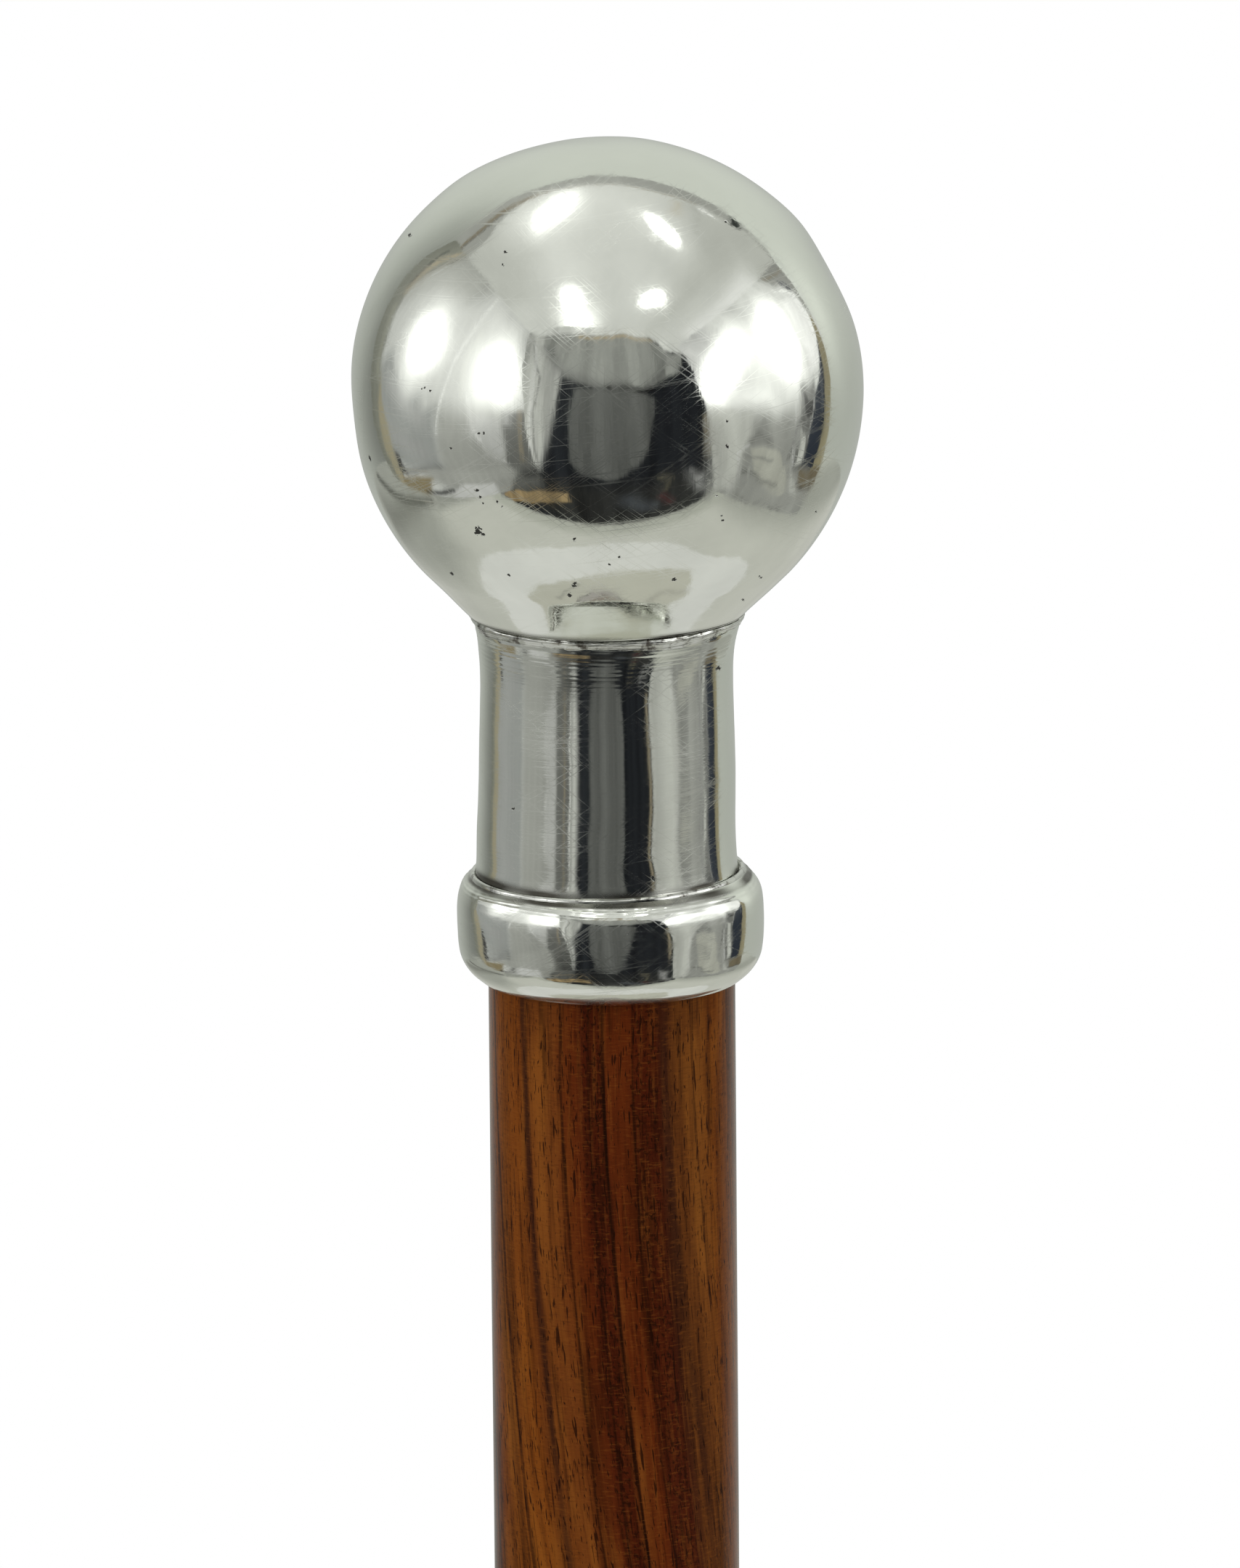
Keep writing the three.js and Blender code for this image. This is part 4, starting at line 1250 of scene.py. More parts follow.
@dataclass(frozen=True)
class ScrewThread:
    """The right-hand screw thread that joins handle and shaft.

    Its surface is a function of angle and height: the radius follows a trapezoid wave of the
    height less the pitch times the turns, so the ridge climbs by one pitch in one turn.
    """

    core_radius: float = 3.1 * MM
    crest_radius: float = 3.85 * MM
    pitch: float = 1.25 * MM
    root_share: float = 0.37
    crest_share: float = 0.08
    play: float = 0.3 * MM
    columns: int = 96

    def ridge(self, points: Array, widening: float = 0.0) -> Array:
        """Share of the thread's height at the given places, from 0 at the core to 1 at the crest."""
        turns = round_axis(points) / TURN
        phase = np.abs((points[..., 2] / self.pitch - turns + self.phase) % 1.0 - 0.5)
        flank = self.root_share - self.crest_share
        return 1.0 - np.clip((phase - self.crest_share - widening) / flank, 0.0, 1.0)

    @property
    def phase(self) -> float:
        """Share of a pitch that sets the ridge where the CAD thread starts."""
        stud = NodeSpan.of("joint_stud")
        start = stud.low + 46.0 * MM + 0.92 * MM
        return 0.5 - (start / self.pitch) % 1.0

    def bush(self, span: NodeSpan, flange_thickness: float, barrel: float) -> bpy.types.Object:
        """Bush: a flange on a barrel, with the thread cut in its bore."""
        bore = self.core_radius + self.play
        edge = 0.25 * MM
        flange = span.high - flange_thickness
        outline = Outline(bore, span.low)
        outline.line(barrel - edge, span.low).line(barrel, span.low + edge).line(barrel, flange)
        outline.line(span.radius - edge, flange).line(span.radius, flange + edge)
        outline.line(span.radius, span.high - edge).line(span.radius - edge, span.high)
        outline.line(bore, span.high).line(bore, span.low)

        def cut(points: Array) -> Array:
            """Moves the bore outwards by the groove's depth."""
            radius = off_axis(points)
            in_bore = radius < bore + 0.05 * MM
            depth = (self.crest_radius + self.play - bore) * self.ridge(points, 0.1) * in_bore
            scale = 1.0 + depth / radius
            return np.concatenate([points[..., :2] * scale[..., None], points[..., 2:]], axis=-1)

        return Turning("thread_bush_turned", outline, self.columns, 0.12 * MM, bend=cut).build()

    def stud(self, span: NodeSpan, shank_top: float) -> bpy.types.Object:
        """Stud: a grooved shank for the glue below, the thread above it."""
        shank, edge, groove = span.radius, 0.6 * MM, 0.5 * MM
        outline = Outline(0.0, span.low).line(shank - edge, span.low).line(shank, span.low + edge)
        pitch = (shank_top - 3.0 * MM - span.low) / 6.0
        for number in range(1, 6):
            middle = span.low + 3.0 * MM + number * pitch
            outline.line(shank, middle - 1.0 * MM).line(shank - groove, middle - 0.5 * MM)
            outline.line(shank - groove, middle + 0.5 * MM).line(shank, middle + 1.0 * MM)
        outline.line(shank, shank_top - 0.3 * MM).line(self.core_radius, shank_top)
        outline.line(self.core_radius, span.high - edge).line(self.core_radius - edge, span.high)
        outline.line(0.0, span.high)

        def roll(points: Array) -> Array:
            """Moves the core outwards by the ridge's height, which runs out at both ends."""
            radius = off_axis(points)
            height = points[..., 2]
            on_core = (radius > self.core_radius - 0.05 * MM) & (height > shank_top - 0.01 * MM)
            fade = (smooth_step(shank_top + 0.4 * MM, shank_top + 1.2 * MM, height)
                    * (1.0 - smooth_step(span.high - 1.3 * MM, span.high - edge, height)))
            rise = (self.crest_radius - self.core_radius) * self.ridge(points) * fade * on_core
            scale = 1.0 + rise / np.maximum(radius, 1e-6)
            return np.concatenate([points[..., :2] * scale[..., None], points[..., 2:]], axis=-1)

        return Turning("joint_stud_turned", outline, self.columns, 0.12 * MM, bend=roll).build()


@dataclass
class Shaft:
    """Rosewood shaft with the stud in its tenon and the leather washer on its shoulder."""

    tenon_radius: float = 8.15 * MM
    tenon_chamfer: float = 1.0 * MM
    shoulder_round: float = 0.35 * MM
    straight_length: float = 160.0 * MM
    tip_radius: float = 8.0 * MM
    tip_round: float = 0.6 * MM
    hole_radius: float = 4.3 * MM
    hole_spare: float = 2.0 * MM
    drill_point: float = 2.5 * MM
    taper_power: float = 1.5

    def __post_init__(self) -> None:
        """Reads the shaft's places from the frame."""
        self.span = NodeSpan.of("shaft")
        self.stud = NodeSpan.of("joint_stud")
        self.washer = NodeSpan.of("seat_washer")
        self.shoulder = self.washer.low - 0.3 * MM

    def wood(self) -> bpy.types.Object:
        """Shaft: tip, long taper, straight top, shoulder, tenon and the hole for the stud.

        The taper's radius falls with the power 1.5 of the way down.
        """
        radius, low = self.span.radius, self.span.low
        straight = self.shoulder - self.straight_length
        share = np.linspace(1.0, 0.0, 150)
        tip, edge = self.tip_radius - self.tip_round, self.tip_round
        outline = Outline(0.0, low).line(tip, low).arc((tip, low + edge), 180.0, 90.0, 5, edge)
        outline.follow(np.stack([radius + (self.tip_radius - radius) * share[1:] ** self.taper_power,
                                 straight + (low - straight) * share[1:]], axis=1))
        turn = self.shoulder_round
        outline.line(radius, self.shoulder - turn)
        outline.arc((radius - turn, self.shoulder - turn), 90.0, 0.0, 5, turn)
        outline.line(self.tenon_radius, self.shoulder)
        outline.line(self.tenon_radius, self.span.high - self.tenon_chamfer)
        outline.line(self.tenon_radius - self.tenon_chamfer, self.span.high)
        outline.line(self.hole_radius, self.span.high)
        bottom = self.stud.low - self.hole_spare
        outline.line(self.hole_radius, bottom).line(0.0, bottom - self.drill_point)

        def rise(points: Array) -> Array:
            """Faint waves that sanding and lacquer leave on the outside."""
            radial = off_axis(points)
            return (Ripples(0.010 * MM, 30.0 * MM, 61).rise(points)
                    * smooth_step(self.tip_radius - 0.8 * MM, self.tip_radius - 0.2 * MM, radial))

        return Turning("shaft_turned", outline, 144, 4.0 * MM, rise=rise).build()

    def seat_washer(self) -> bpy.types.Object:
        """Leather washer with rounded edges."""
        low, high = self.washer.low, self.washer.high
        inner, outer = self.tenon_radius + 0.3 * MM, self.washer.radius
        edge = 0.25 * MM
        outline = Outline(inner, low).line(outer - edge, low)
        outline.arc((outer - edge, low + edge), 180.0, 90.0, 4, edge)
        outline.arc((outer - edge, high - edge), 90.0, 0.0, 4, edge)
        outline.line(inner, high).line(inner, low)
        return Turning("seat_washer_cut", outline, 144, 0.5 * MM).build()

    def build(self, finishes: "Finishes") -> list[Piece]:
        """Builds and lists the shaft's pieces."""
        stud = ScrewThread().stud(self.stud, self.span.high)
        return [
            Piece(self.wood(), "stick", "shaft", "rosewood", finishes.wood),
            Piece(stud, "stick", "joint_stud", "zinc_steel", finishes.zinc),
            Piece(self.seat_washer(), "washer", "seat_washer", "washer_leather", finishes.leather),
        ]


@dataclass
class Foot:
    """Rubber ferrule on the tip of the shaft, with the steel disc in it."""

    floor: float = 7.0 * MM
    base_height: float = 6.0 * MM
    sweep_height: float = 9.0 * MM
    body_radius: float = 10.9 * MM
    rim_radius: float = 11.4 * MM
    rim_height: float = 2.4 * MM
    bore_radius: float = 8.3 * MM
    rib_depth: float = 0.55 * MM
    rib_width: float = 2.0 * MM
    rib_count: int = 3
    pad_radius: float = 3.5 * MM
    ridge_width: float = 2.0 * MM
    groove_width: float = 1.8 * MM
    groove_depth: float = 1.2 * MM
    soft_edge: float = 0.3 * MM
    mould_line: float = 0.09 * MM

    def __post_init__(self) -> None:
        """Reads the ferrule's places from the frame."""
        self.span = NodeSpan.of("ferrule")
        self.disc = NodeSpan.of("ferrule_washer")

    def tread(self, outline: Outline) -> None:
        """Draws the ring grooves and ridges of the tread, with soft edges, out to the base's edge."""
        pitch = self.ridge_width + self.groove_width
        count = int((self.span.radius - self.pad_radius) / pitch)
        soft, deep = self.soft_edge, self.groove_depth
        for number in range(count):
            start = self.pad_radius + number * pitch
            stop = start + self.groove_width
            outline.line(start - soft, 0.0).arc((start - soft, soft), 180.0, 90.0, 4, soft)
            outline.line(start, deep - soft).arc((start + soft, deep - soft), 270.0, 360.0, 4, soft)
            outline.line(stop - soft, deep).arc((stop - soft, deep - soft), 0.0, 90.0, 4, soft)
            outline.line(stop, soft).arc((stop + soft, soft), 270.0, 180.0, 4, soft)

    def ribs(self) -> Change:
        """Rise of the ribs: a bell curve of the height for each, on the body only."""
        sweep_top, rim_low = self.base_height + self.sweep_height, self.span.high - self.rim_height
        pitch = (rim_low - sweep_top) / (self.rib_count + 1)
        middles = sweep_top + pitch * np.arange(1, self.rib_count + 1)

        def rise(points: Array) -> Array:
            """Ribs, mould line and a faint unevenness of the skin."""
            radial = off_axis(points)
            outside = smooth_step(self.body_radius - 0.5 * MM, self.body_radius - 0.2 * MM, radial)
            away = np.abs(points[..., 2, None] - middles) / (0.5 * self.rib_width)
            ribs = self.rib_depth * (1.0 - smooth_step(0.45, 1.0, away)).sum(axis=-1)
            seam = self.mould_line * bell(points[..., 0], 0.16 * MM) * (points[..., 2] > 1.0 * MM)
            skin = Ripples(0.02 * MM, 6.0 * MM, 71).rise(points)
            return outside * (ribs + seam + skin * (points[..., 2] > 0.6 * MM))

        return rise

    def ferrule(self) -> bpy.types.Object:
        """Ferrule: tread, spread base, swept waist, ribbed body, thick rim and bore.

        The sweep's radius leaves the body by one minus the sine of a quarter turn.
        """
        radius, top, soft = self.span.radius, self.span.high, self.soft_edge
        edge = 0.6 * MM
        outline = Outline(0.0, 0.0)
        self.tread(outline)
        outline.line(radius - edge, 0.0).arc((radius - edge, edge), 180.0, 90.0, 6, edge)
        outline.line(radius, self.base_height - edge)
        outline.arc((radius - edge, self.base_height - edge), 90.0, 40.0, 5, edge)
        quarter = np.linspace(0.12, 1.0, 22) * math.pi / 2.0
        outline.follow(np.stack([
            self.body_radius + (radius - self.body_radius) * (1.0 - np.sin(quarter)),
            self.base_height + self.sweep_height * (1.0 - np.cos(quarter))], axis=1))
        rim = top - self.rim_height
        outline.line(self.body_radius, rim - soft)
        outline.arc((self.body_radius + soft, rim - soft), 270.0, 330.0, 3, soft)
        outline.line(self.rim_radius - soft, rim + 0.1 * MM)
        outline.arc((self.rim_radius - soft, rim + edge), 180.0, 90.0, 5, soft)
        outline.line(self.rim_radius, top - edge)
        outline.arc((self.rim_radius - edge, top - edge), 90.0, 0.0, 6, edge)
        outline.line(self.bore_radius + soft, top)
        outline.arc((self.bore_radius + soft, top - soft), 360.0, 270.0, 4, soft)
        outline.line(self.bore_radius, self.floor).line(0.0, self.floor)
        return Turning("ferrule_moulded", outline, 256, 0.4 * MM, rise=self.ribs()).build()

    def steel_disc(self) -> bpy.types.Object:
        """Stamped steel disc with a rounded upper edge."""
        low, high, radius = self.disc.low, self.disc.high, self.disc.radius
        edge = 0.35 * MM
        outline = Outline(0.0, low).line(radius, low).line(radius, high - edge)
        outline.arc((radius - edge, high - edge), 90.0, 0.0, 5, edge).line(0.0, high)
        return Turning("ferrule_washer_stamped", outline, 96, 0.6 * MM).build()

    def build(self, finishes: "Finishes") -> list[Piece]:
        """Builds and lists the foot's pieces."""
        return [
            Piece(self.ferrule(), "foot", "ferrule", "ferrule_rubber", finishes.rubber),
            Piece(self.steel_disc(), "foot", "ferrule_washer", "zinc_steel", finishes.zinc),
        ]


BALL_CHIPS = (
    Chip(-10.4, -8.1, 0.15), Chip(-10.1, -8.6, 0.14), Chip(-9.9, -9.1, 0.10), Chip(-10.3, -11.3, 0.31),
    Chip(-10.0, -11.6, 0.16), Chip(-12.5, -14.6, 0.16), Chip(-7.9, -14.8, 0.14), Chip(-8.8, -9.0, 0.13),
    Chip(-8.4, -9.4, 0.09), Chip(-2.7, -12.1, 0.14), Chip(-2.7, -15.6, 0.24), Chip(-3.1, -16.4, 0.18),
    Chip(0.1, -14.1, 0.12), Chip(0.9, -13.5, 0.13), Chip(-12.5, -4.7, 0.13), Chip(9.2, -10.6, 0.15),
    Chip(9.1, -10.3, 0.10), Chip(16.7, -9.9, 0.12), Chip(12.2, -15.1, 0.14), Chip(5.3, -15.3, 0.15),
    Chip(9.6, -4.8, 0.15), Chip(9.6, -2.8, 0.13), Chip(-14.6, 0.1, 0.15), Chip(-14.1, -0.1, 0.12),
    Chip(-15.7, 12.6, 0.16), Chip(-8.0, 10.9, 0.14), Chip(-8.2, 9.9, 0.12), Chip(8.7, -8.7, 0.10),
    Chip(-10.2, -3.6, 0.12), Chip(-9.8, -3.6, 0.12), Chip(10.8, -16.9, 0.14))
NECK_CHIPS = (Chip(-7.8, -33.5, 0.14), Chip(8.8, -22.3, 0.20), Chip(3.4, -39.2, 0.2))


@dataclass(frozen=True)
class Finishes:
    """Every finish of the stick, each built once."""

    ball: bpy.types.Material
    neck: bpy.types.Material
    ring: bpy.types.Material
    solder: bpy.types.Material
    wood: bpy.types.Material
    rubber: bpy.types.Material
    zinc: bpy.types.Material
    leather: bpy.types.Material

    @classmethod
    def build(cls) -> "Finishes":
        """Builds the shared effects and all finishes."""
        effects = Effects()
        return cls(
            ball=PewterFinish("polished pewter ball", Brushing.BALL, chips=BALL_CHIPS).material(effects),
            neck=PewterFinish("polished pewter neck", Brushing.NECK, pore_share=0.04,
                              wiping=(900.0, 55.0), wiped=0.04, chips=NECK_CHIPS).material(effects),
            ring=PewterFinish("polished pewter collar", Brushing.RING, pore_share=0.06).material(effects),
            solder=SolderFinish().material(effects),
            wood=RosewoodFinish().material(effects),
            rubber=RubberFinish().material(effects),
            zinc=ZincFinish().material(effects),
            leather=LeatherFinish().material(effects),
        )


# Studio


YELLOWISH = (0.99, 1.0, 0.95)
TAN = (1.16, 0.98, 0.68)
BLUISH = (0.88, 0.96, 1.10)
NEUTRAL = (1.0, 1.0, 1.0)

MIRRORED = 0.865  # share of the light that the polish gives back


def light_for(level: float) -> float:
    """Light that the polish mirrors as a grey level of the picture, from 0 to 255."""
    return ((level / 255.0 + 0.055) / 1.055) ** 2.4 / MIRRORED


@dataclass(frozen=True)
class Patch:
    """Soft-edged patch of one tone on a sheet: a filled shape, or a stroke where it has a width.

    Its share of the colour is an eased step of the distance to the nearest side of its chain,
    whose points are given as across and down by turns, in hundredths of the sheet.
    """

    level: float
    soft: float
    chain: tuple[float, ...]
    width: float = 0.0
    cover: float = 1.0
    tint: Colour = NEUTRAL

    def share(self, across: Array, down: Array) -> Array:
        """Share of the patch at every place of a sheet."""
        spots = np.stack([across, down], axis=-1)[..., None, :]
        start = np.array(self.chain).reshape(-1, 2) / 100.0
        stop = np.roll(start, -1, axis=0)
        if self.width > 0.0:
            start, stop = start[:-1], stop[:-1]
        span, offset = stop - start, spots - start
        along = np.clip((offset * span).sum(axis=-1) / np.square(span).sum(axis=-1), 0.0, 1.0)
        away = np.linalg.norm(offset - along[..., None] * span, axis=-1).min(axis=-1)
        if self.width > 0.0:
            away = away - 0.5 * self.width
        else:
            above = start[:, 1] > spots[..., 1]
            crosses = above != (stop[:, 1] > spots[..., 1])
            rise = np.where(np.abs(span[:, 1]) < 1e-9, 1e-9, span[:, 1])
            side = spots[..., 0] < start[:, 0] + (spots[..., 1] - start[:, 1]) * span[:, 0] / rise
            away = np.where((crosses & side).sum(axis=-1) % 2 == 1, -away, away)
        return self.cover * (1.0 - smooth_step(-self.soft, self.soft, away))


@dataclass(frozen=True)
class Lamp:
    """A lamp that shines through a sheet: e to the power of minus the distance to a power.

    Places and sizes are shares of the sheet, and the lean is a shift across for each share down.
    """

    across: float
    down: float
    wide: float
    tall: float
    light: float
    lean: float = 0.0
    power: float = 2.0

    def glow(self, across: Array, down: Array) -> Array:
        """Light that the lamp adds at every place of a sheet."""
        beside = (across - self.across - self.lean * (down - self.down)) / self.wide
        reach = np.hypot(beside, (down - self.down) / self.tall)
        return self.light * np.exp(-reach ** self.power)


@dataclass(frozen=True)
class Painting:
    """Tones of a sheet: a ground, patches over it, creases of the cloth, and lamps behind it."""

    level: float
    tint: Colour = NEUTRAL
    patches: tuple[Patch, ...] = ()
    lamps: tuple[Lamp, ...] = ()
    creases: float = 0.06
    crease_scale: tuple[float, float] = (1.0, 0.35)
    crease_length: float = 0.16
    wobble: float = 0.006
    seed: int = 1

    def colour(self, across: Array, down: Array) -> Array:
        """Colour at every place of a sheet.

        Args:
            across: Places across the sheet, as shares of it.
            down: Places down the sheet, as shares of it.

        Returns:
            Red, green and blue light at each place.
        """
        spots = np.stack([across * self.crease_scale[0], down * self.crease_scale[1], 0.0 * down], axis=-1)
        wobble = Ripples(self.wobble, 0.11, self.seed + 7, 10).rise(spots)
        across, down = across + wobble, down + np.roll(wobble, 5, axis=0)
        colour = light_for(self.level) * np.array(self.tint) * np.ones((*across.shape, 3))
        for patch in self.patches:
            share = patch.share(across, down)[..., None]
            colour = colour * (1.0 - share) + light_for(patch.level) * np.array(patch.tint) * share
        broad = Ripples(1.0, self.crease_length, self.seed, 9).rise(spots)
        fine = Ripples(1.0, 0.35 * self.crease_length, self.seed + 1, 14).rise(spots)
        folds = 1.0 + self.creases * (broad + 0.7 * (1.2 - 2.0 * np.abs(np.clip(fine, -1.2, 1.2))))
        colour = colour * folds[..., None]
        for lamp in self.lamps:
            colour = colour + lamp.glow(across, down)[..., None]
        return np.maximum(colour, 0.0)


@dataclass(frozen=True)
class TentSheet:
    """One cloth sheet of the light tent, which only the polish mirrors.

    Its places lie on the double quadratic through three by three points, in tent heights from
    the ball's centre: across from left to right in each row, and down from row to row.
    """

    name: str
    knots: tuple[tuple[Place, Place, Place], ...]
    painting: Painting
    reach: float = 1.0
    size: int = 240

    def shares(self) -> tuple[Array, Array]:
        """Shares across, up to the sheet's reach, and down at every corner of its grid."""
        line = np.linspace(0.0, 1.0, self.size)
        down, across = np.meshgrid(line, self.reach * line, indexing="ij")
        return across, down

    def places(self, height: float, centre: float) -> Array:
        """Places of the grid's corners in metres."""
        across, down = self.shares()

        def weights(share: Array) -> Array:
            """Weights of three knots for a quadratic through them."""
            return np.stack([(1 - share) * (1 - 2 * share), 4 * share * (1 - share),
                             share * (2 * share - 1)], axis=-1)

        places = np.einsum("abi,abj,ijk->abk", weights(down), weights(across), np.array(self.knots))
        return places * height + np.array([0.0, 0.0, centre])


CEILING = TentSheet(
    "tent_ceiling",
    (((-1.10, 0.72, 1.0), (0.10, 0.72, 1.0), (1.48, 0.93, 1.0)),
     ((-1.03, -0.16, 1.0), (0.20, -0.20, 1.0), (1.33, -0.11, 1.0)),
     ((-0.96, -1.12, 1.0), (0.10, -1.19, 1.0), (1.02, -1.44, 1.0))),
    Painting(198, (0.99, 1.0, 0.97), (
        Patch(176, 0.09, (62, -10, 110, -10, 110, 22, 88, 32, 78, 70, 70, 110, 66, 50), cover=0.9,
            tint=YELLOWISH),
        Patch(224, 0.07, (90, 40, 110, 25, 110, 90, 92, 90), cover=0.8),
        Patch(178, 0.08, (-10, 10, 14, 10, 22, 45, 12, 75, -10, 70), cover=0.7, tint=YELLOWISH),
        Patch(152, 0.01, (-10, -10, 110, -10, 110, 0, 80, 6, 66, 9, 37, 10, 27, 8.5, 20, 14, 10, 22,
            0, 25, -10, 25), tint=YELLOWISH),
        Patch(112, 0.014, (-10, 12.5, 10, 11.5, 20, 8, 31, 8.5), 0.03, 0.9, tint=TAN),
        Patch(88, 0.006, (0, 13.5, 12, 12.8, 20, 10), 0.008, 0.8, tint=YELLOWISH),
        Patch(118, 0.006, (30, 9.2, 38, 10.5, 52, 10.5, 66, 9.8), 0.006, 0.8, tint=TAN),
        Patch(52, 0.008, (75.7, 1, 80, 0, 80.6, 8, 76.2, 8.8), tint=(0.9, 1.0, 0.95)),
        Patch(250, 0.012, (67, 11.8, 70.5, 11.2), 0.012),
        Patch(168, 0.025, (60, 14, 59, 24), 0.012, 0.5, tint=TAN),
        Patch(168, 0.025, (66, 13, 65, 30), 0.016, 0.5, tint=YELLOWISH)),
        (Lamp(0.312, 0.245, 0.042, 0.095, 1.6, -0.45, 2.4), Lamp(0.31, 0.25, 0.11, 0.15, 0.32, -0.3),
         Lamp(0.568, 0.362, 0.034, 0.076, 2.6, 0.45, 6.0), Lamp(0.568, 0.365, 0.07, 0.11, 0.25, 0.4),
         Lamp(0.611, 0.753, 0.052, 0.056, 2.6, 0.0, 6.0), Lamp(0.611, 0.753, 0.08, 0.09, 0.2),
         Lamp(0.283, 0.80, 0.046, 0.10, 2.0, 0.0, 4.0), Lamp(0.295, 1.02, 0.095, 0.20, 1.4, 0.0, 2.6),
         Lamp(0.29, 0.60, 0.09, 0.50, 0.13), Lamp(0.50, 0.50, 0.10, 0.5, 0.05)),
        creases=0.018, crease_scale=(1.0, 0.5), seed=81))

LEFT_WALL = TentSheet(
    "tent_left_wall",
    (((-0.96, -1.12, 1.0), (-1.03, -0.16, 1.0), (-1.10, 0.72, 1.0)),
     ((-1.01, -1.30, 0.15), (-1.15, -0.10, 0.12), (-1.20, 1.06, 0.07)),
     ((-0.94, -1.62, -0.95), (-1.13, -0.10, -0.74), (-1.25, 0.75, -0.65))),
    Painting(182, (0.99, 1.0, 0.98), (
        Patch(152, 0.06, (38, -10, 80, -10, 86, 35, 70, 20, 50, 14), tint=YELLOWISH),
        Patch(141, 0.07, (-10, 56, 30, 58, 47, 60, 50, 110, -10, 110), tint=YELLOWISH),
        Patch(141, 0.03, (47, 60, 54, 63, 56, 57, 64, 62, 76, 47, 86, 56, 85, 84, 70, 88, 47, 86),
            tint=(0.97, 1.0, 0.99)),
        Patch(158, 0.05, (56, 66, 74, 58), 0.06, 0.7),
        Patch(148, 0.04, (56, 80, 74, 76), 0.06, 0.7),
        Patch(96, 0.025, (48, 86, 74, 91), 0.03, 0.8, tint=(0.97, 1.0, 0.98)),
        Patch(172, 0.03, (14, 60, 30, 60, 30, 70, 18, 80, 15, 74), cover=0.8),
        Patch(150, 0.02, (12, 84, 30, 86, 50, 86.5, 60, 90, 55, 93, 30, 93, 14, 92), tint=YELLOWISH),
        Patch(180, 0.012, (27, 93.5, 40, 93, 48, 98, 52, 110, 27, 110)),
        Patch(90, 0.02, (-10, 53, 3, 55, 13, 56, 15, 75, 17, 84, 12, 89, 28, 110, -10, 110),
            tint=YELLOWISH),
        Patch(160, 0.02, (10, 50, 13, 62, 10, 62), cover=0.8),
        Patch(122, 0.012, (3.5, 55, 5, 82), 0.016, 0.8, tint=TAN),
        Patch(45, 0.04, (6, 92, -10, 100), 0.06, 0.8),
        Patch(120, 0.02, (78, -10, 80, 8, 84, 18, 86.5, 30, 85.5, 44, 87, 56, 82, 70, 78.5, 88, 80, 110,
            110, 110, 110, -10), tint=(0.98, 1.0, 0.86)),
        Patch(150, 0.02, (80, -5, 86.5, 10, 88.5, 28), 0.03, 0.7, tint=TAN),
        Patch(62, 0.008, (77, 0, 81.5, 11, 85.2, 22), 0.012, 0.9, tint=TAN),
        Patch(58, 0.012, (91, 6, 89.5, 17, 90, 26), 0.014, 0.7),
        Patch(150, 0.02, (90, 36, 90.5, 62), 0.02, 0.5, tint=(1.0, 1.0, 0.8)),
        Patch(134, 0.02, (79, 74, 86, 60, 90, 70, 90, 110, 80, 110), tint=(1.1, 1.0, 0.72)),
        Patch(114, 0.014, (55, 91.5, 66, 92, 82, 96, 90, 110, 66, 110), tint=(1.18, 0.98, 0.60)),
        Patch(62, 0.014, (74.5, 84, 78.5, 83, 80, 94.5, 72, 91.5)),
        Patch(56, 0.01, (47, 96.5, 53, 98, 62, 99), 0.02, 0.9),
        Patch(176, 0.012, (20, -2, 23.5, 12, 24, 28), 0.01, 0.6),
        Patch(232, 0.01, (37.5, 2, 40.5, 30, 44, 55, 46, 70), 0.006, 0.75),
        Patch(205, 0.01, (31, 52, 29.5, 66, 25, 76, 16, 83), 0.006, 0.8),
        Patch(190, 0.02, (34, 22, 36, 40, 33, 52), 0.02, 0.7, tint=YELLOWISH)),
        (Lamp(0.155, 0.355, 0.115, 0.145, 1.9, 0.05, 2.2),
         Lamp(0.585, 0.375, 0.085, 0.108, 1.8, 0.05, 2.6), Lamp(0.33, 0.34, 0.40, 0.24, 0.42),
         Lamp(0.72, 0.16, 0.14, 0.12, 0.10), Lamp(0.63, 0.50, 0.06, 0.10, 0.35),
         Lamp(0.27, 0.52, 0.05, 0.12, 0.30), Lamp(0.21, 0.11, 0.12, 0.09, 0.18)),
        creases=0.05, crease_scale=(1.0, 0.30), seed=84))

